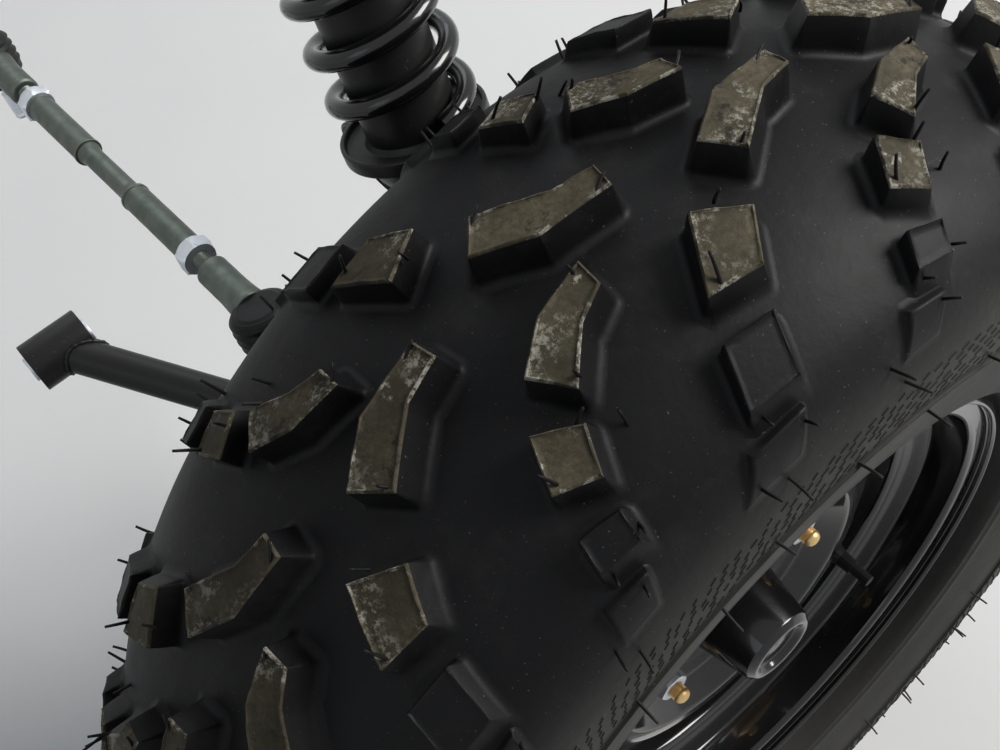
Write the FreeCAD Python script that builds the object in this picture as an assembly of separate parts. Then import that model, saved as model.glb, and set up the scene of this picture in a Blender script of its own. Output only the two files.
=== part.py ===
"""Front wheel corner of a quad bike: tyre, rim, hub, brake, knuckle, strut, lower arm and tie rod.

Millimetres. Z is up, the outer face of the wheel looks along -Y and the front of the vehicle along -X.
The origin is the middle of the lower arm's pivot axis, where the frame carries the corner.
"""
import FreeCAD
import Part
import math
import os
from FreeCAD import Vector

# Wheel centre, from the lower arm's pivot axis
WHEEL_OUT = 400.0
WHEEL_BACK = 48.5
WHEEL_UP = 3.5

# Tyre, 25 x 8 - 12, with flat-sided rounds that keep its lugs light
TYRE_R = 321.0
CROWN_R = 305.5
SIDE_HALF = 105.0
BULGE_R = 235.0
TYRE_WALL = 9.0
TREAD_WALL = 12.0
TREAD_MIDDLE = -4.0
PITCHES = 12
WHEEL_SIDES = 36
CAVITY_SIDES = 24
LUG_SPREAD = 1.12
LUG_ROOT = 5.0

# Rim, 12 x 6, pressed steel
BEAD_R = 152.2
RIM_HALF = 76.2
RIM_SHEET = 3.0
FLANGE_RISE = 13.5
FLANGE_ROLL = 9.0
SEAT_WIDTH = 20.0
DROP_R = 134.0
DISC_SHEET = 4.5
DISC_FACE = -33.0
DISC_BORE_R = 36.0
DISC_BEND = 14.0
BOLT_CIRCLE = 110.0
STUD_COUNT = 4
STUD_R = 5.0
STUD_OUT = 21.5
STUD_TURN = 63.0
NUT_ACROSS = 17.0
NUT_TALL = 13.0
VALVE_R = 4.5
VALVE_LONG = 30.0
VALVE_CIRCLE_R = 106.0
VALVE_TURN = 215.0

# Hub, bearings and cap
SPINDLE_R = 12.5
SPINDLE_TIP_R = 8.0
SPINDLE_NUT_ACROSS = 27.0
SPINDLE_NUT_TALL = 12.0
SPINDLE_PAST_NUT = 2.0
BEARING_R = 22.0
BEARING_WIDE = 12.0
HUB_BARREL_R = 29.0
HUB_NECK_R = 25.5
HUB_FLANGE_R = 68.0
HUB_FLANGE_T = 9.0
HUB_OUTER_Y = -46.0
HUB_INNER_Y = 22.0
HUB_SIDES = 28
CAP_BASE_R = 30.0
CAP_END_R = 23.0
CAP_TALL = 43.0
CAP_WALL = 2.5
CAP_LIP = 3.0
RUN_GAP = 0.3
RUN_WIDE = 5.0
FIT_GAP = 0.1

# Brake disc and caliper
BRAKE_R = 88.0
BRAKE_HOLE_R = 42.0
BRAKE_SEAT_WIDE = 12.0
BRAKE_T = 4.0
BRAKE_Y = 8.0
BRAKE_VENTS = 8
BRAKE_VENT_R = 6.0
CALIPER_LONG = 70.0
CALIPER_WALL = 8.0
CALIPER_BACK = 18.0
CALIPER_EAR = 8.0
PAD_T = 6.0
PAD_GAP = 1.0

# Lower ball joint, from the wheel centre, and the strut's lean, in degrees
LOW_BALL = (-2.0, 90.0, -75.0)
LEAN_IN = 16.1
LEAN_BACK = 1.5

# Ball joints
BALL_R = 10.5
SOCKET_R = 18.0
SOCKET_TALL = 24.0
BOOT_TALL = 10.0
BOOT_WALL = 2.5
BALL_STUD_R = 6.0
BALL_NUT_ACROSS = 19.0
BALL_NUT_TALL = 9.0
STUD_PAST_NUT = 3.0

# Knuckle, heights measured up the strut from the lower ball
BOSS_R = 16.0
BOSS_TALL = 22.0
SLEEVE_AT = 64.0
SLEEVE_TALL = 88.0
SLEEVE_WALL = 7.5
SLEEVE_SLOT = 5.0
PINCH_R = 4.0
PINCH_SPACING = 44.0
PINCH_OUT = 11.0
EAR_LONG = 20.0
EAR_T = 9.0
WEB_T = 30.0
WEB_OUT = 46.0
SPINDLE_ROOT_R = 25.0
COLLAR_R = 19.0

# Strut
TUBE_R = 24.0
TUBE_AT = 66.0
TUBE_LONG = 354.0
GLAND_LONG = 40.0
ROD_R = 8.0
SEAT_AT = 300.0
SEAT_R = 38.0
SEAT_T = 4.0
SEAT_LIP = 8.0
SPRING_R = 31.0
SPRING_WIRE_R = 5.0
SPRING_LONG = 190.0
SPRING_TURNS = 7
TURN_STEPS = 14
WIRE_SIDES = 6
TOP_RUBBER_R = 27.0
TOP_RUBBER_TALL = 20.0
TOP_PLATE_R = 36.0
TOP_PLATE_T = 4.0
TOP_STEM_R = 6.0
TOP_STEM_LONG = 24.0

# Steering arm and tie rod, the outer ball from the wheel centre
STEER_BALL = (-105.0, 169.5, 159.0)
RING_TALL = 26.0
RING_WALL = 6.0
STEER_EYE_R = 14.0
STEER_EYE_TALL = 14.0
STEER_ARM_T = 12.0
ROD_SPAN = 312.0
ROD_TOE = 1.5
TIE_R = 6.0
COLLAR_LONG = 58.0
TIE_COLLAR_R = 8.0
THREAD_R = 5.0
NUT_AT = 62.0
TIE_NUT_ACROSS = 19.0
TIE_NUT_TALL = 9.0
SHANK_R = 9.0
SHANK_END = 52.0
TIE_SOCKET_R = 15.0
TIE_SOCKET_TALL = 21.0
TIE_BALL_R = 9.0
INNER_PIN_LONG = 18.0
PIN_RELIEF = 3.0

# Lower arm
LOW_SPREAD = 140.0
LOW_TUBE_R = 12.7
TUBE_WALL = 2.5
YOKE_T = 14.0
YOKE_START = 14.0
YOKE_LONG = 64.0
YOKE_GRIP = 22.0
CROSS_AT = 150.0
CROSS_R = 9.0

# Pivot bushes
BUSH_R = 18.0
BUSH_WALL = 3.0
BUSH_LONG = 44.0
SLEEVE_R = 9.0
SLEEVE_EXTRA = 2.0
PIVOT_BORE_R = 6.1


# Flats round the flat-sided forms
BIG_SIDES = 28
SIDES = 20
SMALL_SIDES = 12
BALL_ROWS = 5

WHEEL = Vector(WHEEL_BACK, -WHEEL_OUT, WHEEL_UP)
OUTWARD = Vector(0.0, -1.0, 0.0)
INWARD = Vector(0.0, 1.0, 0.0)
BACK = Vector(1.0, 0.0, 0.0)

# Outer half of the tyre's casing as (y, radius), from the bead to the crown
CASING = ((-RIM_HALF + FIT_GAP, BEAD_R), (-RIM_HALF + FIT_GAP, BEAD_R + FLANGE_RISE + 1.0),
          (-RIM_HALF - 15.0, BEAD_R + FLANGE_RISE + 10.0), (-SIDE_HALF, BULGE_R - 17.0),
          (-SIDE_HALF + 1.0, BULGE_R + 17.0), (-SIDE_HALF + 15.0, CROWN_R - 27.5),
          (-62.0, CROWN_R - 10.5), (-24.0, CROWN_R - 1.0))

# Corners of the lugs' tops: degrees from the front upward, and y, for the first of the pitches
LUGS = (
    ("centre bent", ((71.1, 0.9), (71.4, -9.3), (68.4, -12.9), (64.0, -29.0), (62.0, -15.9), (65.8, -2.5))),
    ("shoulder square", ((57.9, -34.1), (61.3, -45.5), (59.1, -60.9), (55.0, -57.7))),
    ("side square", ((53.6, -70.5), (57.7, -72.3), (56.3, -90.1), (52.0, -88.9))),
    ("outer bent", ((81.1, -22.0), (81.0, -32.3), (78.6, -37.3), (75.6, -50.3), (73.9, -36.8),
                    (77.0, -26.1))),
    ("outer square", ((71.6, -49.5), (74.4, -58.9), (72.8, -72.3), (69.9, -65.6))),
)


def at_wheel(x, y, z):
    """A point given from the wheel centre."""
    return WHEEL + Vector(x, y, z)


def save(name, *solids):
    """Writes one node, of one solid or of like solids that don't touch."""
    shape = solids[0] if len(solids) == 1 else Part.makeCompound(list(solids))
    shape.exportStep("parts/%s.step" % name)


def shaft(start, end, radius):
    """A truly round bar between two points, for what turns or is turned on."""
    way = end - start
    return Part.makeCylinder(radius, way.Length, start, way)


def lathe(start, way, outline, sides):
    """A flat-sided solid about an axis from (height, radius) corners."""
    up = Vector(way).normalize()
    first = up.cross(INWARD if abs(up.y) < 0.9 else BACK).normalize()
    second = up.cross(first)
    rings = []
    for k in range(sides):
        angle = 2.0 * math.pi * (k + 0.5) / sides
        radial = first * math.cos(angle) + second * math.sin(angle)
        rings.append([start + up * h + radial * r for h, r in outline])
    return closed(ring_loops(rings, [r for h, r in outline]))


def bar(start, end, radius, sides=SIDES):
    """A flat-sided bar between two points."""
    long = (end - start).Length
    return lathe(start, end - start, [(0.0, 0.0), (0.0, radius), (long, radius), (long, 0.0)], sides)


def pipe(start, end, radius, bore, sides=SIDES):
    """A flat-sided tube between two points."""
    long = (end - start).Length
    return lathe(start, end - start, [(0.0, bore), (0.0, radius), (long, radius), (long, bore)], sides)


def taper(start, end, start_radius, end_radius, sides=SIDES):
    """A flat-sided tapered bar."""
    long = (end - start).Length
    outline = [(0.0, 0.0), (0.0, start_radius), (long, end_radius), (long, 0.0)]
    return lathe(start, end - start, outline, sides)


def ball(centre, way, radius):
    """A flat-sided ball."""
    turns = [math.pi * k / BALL_ROWS for k in range(BALL_ROWS + 1)]
    outline = [(-radius * math.cos(a), max(radius * math.sin(a), 0.0)) for a in turns]
    outline[0] = (-radius, 0.0)
    outline[-1] = (radius, 0.0)
    return lathe(centre, way, outline, SIDES)


def clear_of(radius, sides):
    """Corner radius of a flat-sided hole whose flats clear a round bar."""
    return (radius + FIT_GAP) / math.cos(math.pi / sides)


def hexagon(start, way, across, tall):
    """A hexagonal prism."""
    corner_r = across / math.sqrt(3.0)
    return bar(start, start + way * tall, corner_r, 6)


def nut(start, way, across, tall, bore):
    """A hexagonal nut on a round bar."""
    hole = bar(start - way, start + way * (tall + 1.0), clear_of(bore, SMALL_SIDES), SMALL_SIDES)
    return hexagon(start, way, across, tall).cut(hole)


def plate(points, way):
    """A flat plate: a closed outline pushed along a vector."""
    return Part.Face(Part.makePolygon(list(points) + [points[0]])).extrude(way)


def spot(turn, y, radius):
    """A point from its angle about the axle, in degrees from the front upward."""
    angle = math.radians(turn)
    return at_wheel(-radius * math.cos(angle), y, radius * math.sin(angle))


def closed(loops):
    """A solid from the corner loops of its flat faces."""
    faces = [Part.Face(Part.makePolygon(list(loop) + [loop[0]])) for loop in loops]
    shell = Part.makeShell(faces)
    shell.sewShape()
    solid = Part.makeSolid(shell)
    if solid.Volume < 0.0:
        solid.reverse()
    return solid


def ring_loops(rings, radii):
    """Face loops between rings of corners; a corner on the axis belongs to all rings."""
    loops = []
    for k in range(len(rings)):
        here = rings[k]
        there = rings[(k + 1) % len(rings)]
        for i in range(len(radii)):
            j = (i + 1) % len(radii)
            if radii[i] == 0.0 and radii[j] == 0.0:
                continue
            loop = [here[i], here[j]]
            if radii[j] > 0.0:
                loop.append(there[j])
            if radii[i] > 0.0:
                loop.append(there[i])
            loops.append(loop)
    return loops


def turned(outline, sides):
    """A flat-sided solid about the axle from (y, radius) corners."""
    rings = [[spot(360.0 * k / sides, y, r) for y, r in outline] for k in range(sides)]
    return closed(ring_loops(rings, [r for y, r in outline]))


def offset_line(line, distance):
    """A copy of a (y, radius) line, moved sideways by a distance at mitred corners."""
    moved = []
    for k, point in enumerate(line):
        before = line[max(k - 1, 0)]
        after = line[min(k + 1, len(line) - 1)]
        sides = []
        for a, b in ((before, point), (point, after)):
            long = math.hypot(b[0] - a[0], b[1] - a[1])
            if long > 0.0:
                sides.append(((b[1] - a[1]) / long, -(b[0] - a[0]) / long))
        ny = sum(s[0] for s in sides) / len(sides)
        nr = sum(s[1] for s in sides) / len(sides)
        square = ny * ny + nr * nr
        moved.append((point[0] + distance * ny / square, point[1] + distance * nr / square))
    return moved


def mirror_line(half):
    """A line and its mirror about the wheel's middle plane, the first half at negative y."""
    return list(half) + [(-y, r) for y, r in reversed(half)]


def stud_points(y):
    """Points of the stud circle."""
    return [spot(STUD_TURN + 360.0 * k / STUD_COUNT, y, BOLT_CIRCLE / 2.0) for k in range(STUD_COUNT)]


def tip_r(y):
    """Radius of the lugs' tips at a place across the tread."""
    share = y / SIDE_HALF
    return TYRE_R - 43.3 * share ** 2 - 2.8 * share ** 4


def casing_r(y):
    """Radius of the casing at a place across the tread."""
    line = mirror_line([point for point in CASING if point[1] > BULGE_R])
    for (y0, r0), (y1, r1) in zip(line, line[1:]):
        if y0 <= y <= y1:
            return r0 + (r1 - r0) * (y - y0) / (y1 - y0)
    return line[0][1]


def fan(points):
    """Triangles over a top of four corners, or of six with a bend between the second and the fifth."""
    if len(points) == 4:
        return [[points[0], points[1], points[2]], [points[0], points[2], points[3]]]
    rows = ((0, 1, 2), (0, 2, 5), (5, 2, 4), (2, 3, 4))
    return [[points[i] for i in row] for row in rows]


def make_lug(corners, turn, mirrored):
    """One lug: a top that follows the tip line, with drafted sides down into the casing."""
    mid_turn = sum(c[0] for c in corners) / len(corners)
    mid_y = sum(c[1] for c in corners) / len(corners)
    tops = []
    feet = []
    for angle, y in corners:
        foot_angle = mid_turn + (angle - mid_turn) * LUG_SPREAD
        foot_y = mid_y + (y - mid_y) * LUG_SPREAD
        if mirrored:
            y = 2.0 * TREAD_MIDDLE - y
            foot_y = 2.0 * TREAD_MIDDLE - foot_y
        tops.append(spot(angle + turn, y, tip_r(y)))
        feet.append(spot(foot_angle + turn, foot_y, casing_r(foot_y) - LUG_ROOT))
    loops = fan(tops) + fan(feet)
    for i in range(len(corners)):
        j = (i + 1) % len(corners)
        loops += [[tops[i], tops[j], feet[j]], [tops[i], feet[j], feet[i]]]
    return closed(loops)


def make_tyre():
    """Casing open to the rim, with both halves of the tread's lugs fused on, half a pitch apart."""
    body = turned(mirror_line(CASING), WHEEL_SIDES)
    toe = RIM_HALF - SEAT_WIDTH
    crown = CROWN_R - TREAD_WALL
    inner = ((-toe, DROP_R), (-toe, BEAD_R + 11.0), (-RIM_HALF - 2.0, BEAD_R + 32.0),
             (-SIDE_HALF + TYRE_WALL, BULGE_R - 15.0), (-SIDE_HALF + TYRE_WALL + 8.0, BULGE_R + 31.0),
             (-50.0, crown - 4.5))
    body = body.cut(turned(mirror_line(inner), CAVITY_SIDES))
    pitch = 360.0 / PITCHES
    lugs = []
    for k in range(PITCHES):
        for name, corners in LUGS:
            lugs.append(make_lug(corners, pitch * k, False))
            lugs.append(make_lug(corners, pitch * (k + 0.5), True))
    return body.fuse(lugs)


def barrel_line():
    """Tyre side of the rim's barrel, from the outer flange to the inner one."""
    top = BEAD_R + FLANGE_RISE
    seat = BEAD_R - FIT_GAP
    half = ((-RIM_HALF - FLANGE_ROLL, top - 4.0), (-RIM_HALF - FLANGE_ROLL + 2.5, top),
            (-RIM_HALF - 2.0, top), (-RIM_HALF, top - 4.0), (-RIM_HALF, seat),
            (-RIM_HALF + SEAT_WIDTH, seat), (-RIM_HALF + SEAT_WIDTH + 8.0, DROP_R))
    return mirror_line(half)


def disc_line():
    """Outer face of the disc, from its bore to its weld on the barrel."""
    face = DISC_FACE - DISC_SHEET
    wall = DROP_R - RIM_SHEET
    return [(face, DISC_BORE_R), (face, 74.0), (face - DISC_BEND, 84.0), (face - DISC_BEND, 94.0),
            (face - 5.0, 99.0), (face - 5.0, 113.0), (face + 8.0, wall), (face + 22.0, wall)]


def make_rim():
    """Barrel with rolled flanges, and the pressed disc welded inside it, as one outline."""
    outer = barrel_line()
    inner = offset_line(outer, RIM_SHEET)[::-1]
    front = disc_line()
    back = offset_line(front, DISC_SHEET)[::-1]
    half = len(inner) // 2
    outline = outer + inner[:half] + [front[-1]] + back + front[:-1] + inner[half:]
    rim = turned(outline, WHEEL_SIDES)
    for point in stud_points(DISC_FACE):
        rim = rim.cut(bar(point + OUTWARD * 30.0, point + INWARD * 30.0, STUD_R + 1.0, SMALL_SIDES))
    foot = spot(VALVE_TURN, front[4][0], VALVE_CIRCLE_R)
    return rim.cut(bar(foot + OUTWARD * 20.0, foot + INWARD * 20.0, VALVE_R + FIT_GAP, SMALL_SIDES))


def make_hub():
    """Hub with the flange that the wheel seats on and the seat of the brake disc."""
    flange_in = DISC_FACE + HUB_FLANGE_T
    seat = BRAKE_Y - BRAKE_T / 2.0
    seat_r = BRAKE_HOLE_R + BRAKE_SEAT_WIDE
    hub = turned([(HUB_OUTER_Y, BEARING_R), (HUB_OUTER_Y, HUB_NECK_R), (DISC_FACE, HUB_NECK_R),
                  (DISC_FACE, HUB_FLANGE_R), (flange_in, HUB_FLANGE_R), (flange_in, HUB_BARREL_R + 5.0),
                  (seat - 6.0, HUB_BARREL_R + 5.0), (seat - 6.0, seat_r), (seat, seat_r),
                  (seat, BRAKE_HOLE_R - RUN_GAP), (HUB_INNER_Y, HUB_BARREL_R), (HUB_INNER_Y, BEARING_R)],
                 HUB_SIDES)
    for point in stud_points(DISC_FACE):
        hub = hub.cut(bar(point + OUTWARD, point + INWARD * (HUB_FLANGE_T + 1.0), STUD_R, SMALL_SIDES))
    return hub


def make_bearing(y):
    """Bearing ring between the hub and the spindle."""
    bore = clear_of(SPINDLE_R + RUN_GAP, HUB_SIDES)
    far = y + BEARING_WIDE
    return turned([(y, bore), (y, BEARING_R - FIT_GAP), (far, BEARING_R - FIT_GAP), (far, bore)], HUB_SIDES)


def make_brake_disc():
    """Brake disc with a ring of vents."""
    near = BRAKE_Y - BRAKE_T / 2.0
    far = BRAKE_Y + BRAKE_T / 2.0
    disc = turned([(near, BRAKE_HOLE_R), (near, BRAKE_R), (far, BRAKE_R), (far, BRAKE_HOLE_R)], WHEEL_SIDES)
    middle = (BRAKE_R + BRAKE_HOLE_R + BRAKE_SEAT_WIDE) / 2.0
    for k in range(BRAKE_VENTS):
        point = spot(360.0 * k / BRAKE_VENTS, near - 1.0, middle)
        disc = disc.cut(bar(point, point + INWARD * (BRAKE_T + 2.0), BRAKE_VENT_R, SMALL_SIDES))
    return disc


def make_cap():
    """Hub cap pressed into the disc's bore: a hollow cone with a lip and a sunken end."""
    foot = DISC_FACE - DISC_SHEET
    end = foot - CAP_TALL
    sunk = end + 4.0
    lip_r = DISC_BORE_R + CAP_LIP
    return turned([(foot, lip_r), (foot - CAP_LIP, lip_r), (foot - CAP_LIP, CAP_BASE_R),
                   (end + 3.0, CAP_END_R), (end, CAP_END_R - 3.0), (end, CAP_END_R - 6.0),
                   (sunk, CAP_END_R - 8.0), (sunk, 0.0), (sunk + CAP_WALL, 0.0),
                   (sunk + CAP_WALL, CAP_END_R - CAP_WALL), (foot, CAP_BASE_R - CAP_WALL)], HUB_SIDES)


def make_wheel_fixings():
    """Studs pressed into the hub flange, and their nuts on the disc."""
    face = DISC_FACE - DISC_SHEET
    root = DISC_FACE + HUB_FLANGE_T
    studs = []
    nuts = []
    for centre in stud_points(0.0):
        tip = centre + INWARD * (face - STUD_OUT)
        studs.append(bar(tip, centre + INWARD * root, STUD_R - FIT_GAP, SMALL_SIDES))
        nuts.append(nut(centre + INWARD * face, OUTWARD, NUT_ACROSS, NUT_TALL, STUD_R))
    save("wheel_studs", *studs)
    save("wheel_nuts", *nuts)


def make_valve():
    """Valve stem standing on the disc's outer ring."""
    foot = spot(VALVE_TURN, disc_line()[4][0], VALVE_CIRCLE_R)
    cap = VALVE_LONG - 12.0
    outline = [(-8.0, 0.0), (-8.0, VALVE_R), (0.0, VALVE_R), (0.0, VALVE_R + 3.0), (9.0, VALVE_R + 0.5),
               (cap, VALVE_R), (cap, VALVE_R - 1.0), (VALVE_LONG, VALVE_R - 1.0), (VALVE_LONG, 0.0)]
    return lathe(foot, OUTWARD, outline, SMALL_SIDES)


def strut_way():
    """Direction of the strut, which is the steering axis, upward."""
    way = Vector(math.tan(math.radians(LEAN_BACK)), math.tan(math.radians(LEAN_IN)), 1.0)
    return way.normalize()


def up_strut(height):
    """A point on the strut's axis, at a height from the lower ball."""
    return at_wheel(*LOW_BALL) + strut_way() * height


def ring(low, high, radius, bore, sides=SIDES):
    """A ring about the strut's axis, its flats in line with those of the bar in its bore."""
    return pipe(up_strut(low), up_strut(high), radius, bore + FIT_GAP, sides)


def strut_out():
    """Direction from the strut to the wheel, square to the strut's axis."""
    way = strut_way()
    return (OUTWARD - way * OUTWARD.dot(way)).normalize()


def make_socket(centre, way, radius, tall, ball_r):
    """Housing round a ball, closed below and open along way."""
    room = ball_r + RUN_GAP
    low = -tall / 2.0
    high = tall / 2.0
    outline = [(low, 0.0), (low, radius), (high, radius), (high, BALL_STUD_R + 4.0), (room * 0.6, room),
               (-room * 0.7, room), (-room, room * 0.5), (-room, 0.0)]
    return lathe(centre, way, outline, SIDES)


def make_boot(centre, way, radius, tall):
    """Rubber boot between a socket and the boss beyond it."""
    foot = tall / 2.0 + RUN_GAP
    head = tall / 2.0 + BOOT_TALL - RUN_GAP
    waist = (foot + head) / 2.0
    neck = BALL_STUD_R + RUN_GAP
    outline = [(foot, radius - BOOT_WALL), (foot, radius), (waist, radius - 1.0), (head, neck + BOOT_WALL),
               (head, neck), (waist, radius - BOOT_WALL - 2.0)]
    return lathe(centre, way, outline, SIDES)


def make_ball_stud(centre, way, ball_r, long):
    """Ball with its round shank."""
    return ball(centre, way, ball_r).fuse(shaft(centre, centre + way * long, BALL_STUD_R))


def boss_reach(tall):
    """Distance from a ball to the boss that its stud is drawn into."""
    return tall / 2.0 + BOOT_TALL


def make_knuckle(bracket):
    """Knuckle casting: ball boss, web, split sleeve that grips the strut, spindle and caliper bracket."""
    way = strut_way()
    out = strut_out()
    side = way.cross(out).normalize()
    low = boss_reach(SOCKET_TALL)
    sleeve_r = TUBE_R + SLEEVE_WALL
    top = SLEEVE_AT + SLEEVE_TALL
    boss = bar(up_strut(low), up_strut(low + BOSS_TALL), BOSS_R)
    sleeve = bar(up_strut(SLEEVE_AT), up_strut(top), sleeve_r, BIG_SIDES)
    web_rows = ((1.0, low + 3.0), (1.0, low + BOSS_TALL - 3.0), (BOSS_R, low + BOSS_TALL - 3.0),
                (BOSS_R, SLEEVE_AT + 6.0), (2.0, SLEEVE_AT + 6.0), (2.0, top - 30.0),
                (WEB_OUT, SLEEVE_AT + 34.0), (WEB_OUT, SLEEVE_AT - 8.0), (BOSS_R + 12.0, low + 4.0))
    corners = [up_strut(h) + out * s - side * (WEB_T / 2.0) for s, h in web_rows]
    web = plate(corners, side * WEB_T)
    ear_root = up_strut(SLEEVE_AT + 2.0) - out * TUBE_R
    ear_tip = up_strut(SLEEVE_AT + 2.0) - out * (sleeve_r + EAR_LONG)
    half = side * (EAR_T + SLEEVE_SLOT / 2.0)
    corners = [ear_root - half, ear_tip - half, ear_tip + half, ear_root + half]
    ears = plate(corners, way * (SLEEVE_TALL - 4.0))
    root_y = (up_strut(SLEEVE_AT + 14.0) + out * (WEB_OUT / 2.0)).y - WHEEL.y
    root = at_wheel(0.0, root_y, 0.0)
    shoulder = at_wheel(0.0, HUB_INNER_Y + RUN_WIDE, 0.0)
    tip = at_wheel(0.0, HUB_OUTER_Y - SPINDLE_NUT_TALL - SPINDLE_PAST_NUT, 0.0)
    step = at_wheel(0.0, HUB_OUTER_Y + RUN_GAP, 0.0)
    spindle = taper(root, shoulder, SPINDLE_ROOT_R, COLLAR_R).fuse(shaft(shoulder, step, SPINDLE_R))
    spindle = spindle.fuse(bar(step, tip, SPINDLE_TIP_R, SMALL_SIDES))
    body = sleeve
    for piece in (web, boss, ears, spindle, bracket):
        body = body.fuse(piece)
    slot_half = side * (SLEEVE_SLOT / 2.0)
    slot_root = up_strut(SLEEVE_AT - 1.0)
    slot_tip = slot_root - out * (sleeve_r + EAR_LONG + 1.0)
    slot = plate([slot_root - slot_half, slot_tip - slot_half, slot_tip + slot_half, slot_root + slot_half],
                 way * (SLEEVE_TALL + 2.0))
    cuts = [bar(up_strut(SLEEVE_AT - 3.0), up_strut(top + 3.0), TUBE_R + FIT_GAP, BIG_SIDES), slot,
            bar(up_strut(low - 3.0), up_strut(low + BOSS_TALL + 3.0), clear_of(BALL_STUD_R, SIDES))]
    cuts += [bar(start, end, PINCH_R + FIT_GAP, SMALL_SIDES) for start, end in pinch_lines(3.0)]
    for cutter in cuts:
        body = body.cut(cutter)
    return body


def pinch_lines(extra):
    """Axes of the two pinch bolts through the sleeve's ears, from head face to nut face."""
    way = strut_way()
    out = strut_out()
    side = way.cross(out).normalize()
    reach = EAR_T + SLEEVE_SLOT / 2.0 + extra
    middle = SLEEVE_AT + SLEEVE_TALL / 2.0
    lines = []
    for height in (middle - PINCH_SPACING / 2.0, middle + PINCH_SPACING / 2.0):
        centre = up_strut(height) - out * (TUBE_R + SLEEVE_WALL + PINCH_OUT)
        lines.append((centre - side * reach, centre + side * reach))
    return lines


def make_pinch_bolts():
    """Bolts that close the knuckle's sleeve on the strut."""
    bolts = []
    for start, end in pinch_lines(0.0):
        way = (end - start).normalize()
        bolt = bar(start, end + way * 10.0, PINCH_R, SMALL_SIDES)
        bolt = bolt.fuse([hexagon(start, way * -1.0, 3.2 * PINCH_R, 1.4 * PINCH_R),
                          hexagon(end, way, 3.2 * PINCH_R, 1.8 * PINCH_R)])
        bolts.append(bolt)
    save("pinch_bolts", *bolts)


def make_caliper():
    """Caliper straddling the brake disc behind the axle, and its bracket to the knuckle's web."""
    pad_in = BRAKE_HOLE_R + BRAKE_SEAT_WIDE + 3.0
    outer_r = BRAKE_R + CALIPER_BACK
    half_t = BRAKE_T / 2.0 + PAD_GAP + PAD_T
    near = BRAKE_Y - half_t - CALIPER_WALL
    wide = 2.0 * half_t + 3.0 * CALIPER_WALL
    block = Part.makeBox(outer_r - pad_in, wide, CALIPER_LONG, at_wheel(pad_in, near, -CALIPER_LONG / 2.0))
    slot_r = math.hypot(BRAKE_R, CALIPER_LONG / 4.0) + RUN_GAP
    slot = shaft(at_wheel(0.0, BRAKE_Y - half_t, 0.0), at_wheel(0.0, BRAKE_Y + half_t, 0.0), slot_r)
    body = block.cut(slot)
    lug_y = near + wide
    ear_half = CALIPER_LONG / 5.0
    ear_long = outer_r - pad_in - 6.0
    ear = Part.makeBox(ear_long, CALIPER_EAR, 2.0 * ear_half, at_wheel(pad_in, lug_y, -ear_half))
    start = up_strut(SLEEVE_AT + 8.0) + strut_out() * (WEB_OUT - 14.0)
    web = taper(start, at_wheel(pad_in + 8.0, lug_y + CALIPER_EAR / 2.0, 0.0), 12.0, 3.5, SMALL_SIDES)
    return body, ear.fuse(web)


def make_pads():
    """Brake pads on both sides of the disc."""
    pad_in = BRAKE_HOLE_R + BRAKE_SEAT_WIDE + 3.0
    half_long = CALIPER_LONG * 0.35
    wide = BRAKE_R - pad_in - 6.0
    starts = (BRAKE_Y - BRAKE_T / 2.0 - PAD_GAP - PAD_T, BRAKE_Y + BRAKE_T / 2.0 + PAD_GAP)
    pads = [Part.makeBox(wide, PAD_T, 2.0 * half_long, at_wheel(pad_in, y, -half_long)) for y in starts]
    save("brake_pads", *pads)


def make_steering_arm():
    """Arm welded round the strut, with the eye that carries the tie rod's ball stud."""
    way = strut_way()
    face = at_wheel(*STEER_BALL) - way * boss_reach(TIE_SOCKET_TALL)
    middle = face - way * (STEER_EYE_TALL / 2.0)
    height = (middle - at_wheel(*LOW_BALL)).dot(way)
    centre = up_strut(height)
    along = (middle - centre).normalize()
    across = way.cross(along)
    long = (middle - centre).Length
    ring_r = TUBE_R + RING_WALL
    rows = ((TUBE_R + 2.0, -ring_r + 5.0), (long, -STEER_EYE_R + 2.0), (long, STEER_EYE_R - 2.0),
            (TUBE_R + 2.0, ring_r - 5.0))
    half = way * (STEER_ARM_T / 2.0)
    arm = plate([centre + along * u + across * v - half for u, v in rows], half * 2.0)
    collar = bar(up_strut(height - RING_TALL / 2.0), up_strut(height + RING_TALL / 2.0), ring_r, BIG_SIDES)
    arm = collar.fuse(arm).fuse(bar(face - way * STEER_EYE_TALL, face, STEER_EYE_R))
    arm = arm.cut(bar(face - way * (STEER_EYE_TALL + 1.0), face + way, clear_of(BALL_STUD_R, SIDES)))
    bore = bar(up_strut(height - RING_TALL), up_strut(height + RING_TALL), TUBE_R + FIT_GAP, BIG_SIDES)
    return arm.cut(bore)


def rod_top():
    """Height of the damper rod's shoulder, on the top plate."""
    return SEAT_AT + SPRING_LONG + SEAT_T + RUN_GAP + TOP_RUBBER_TALL + TOP_PLATE_T


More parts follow.
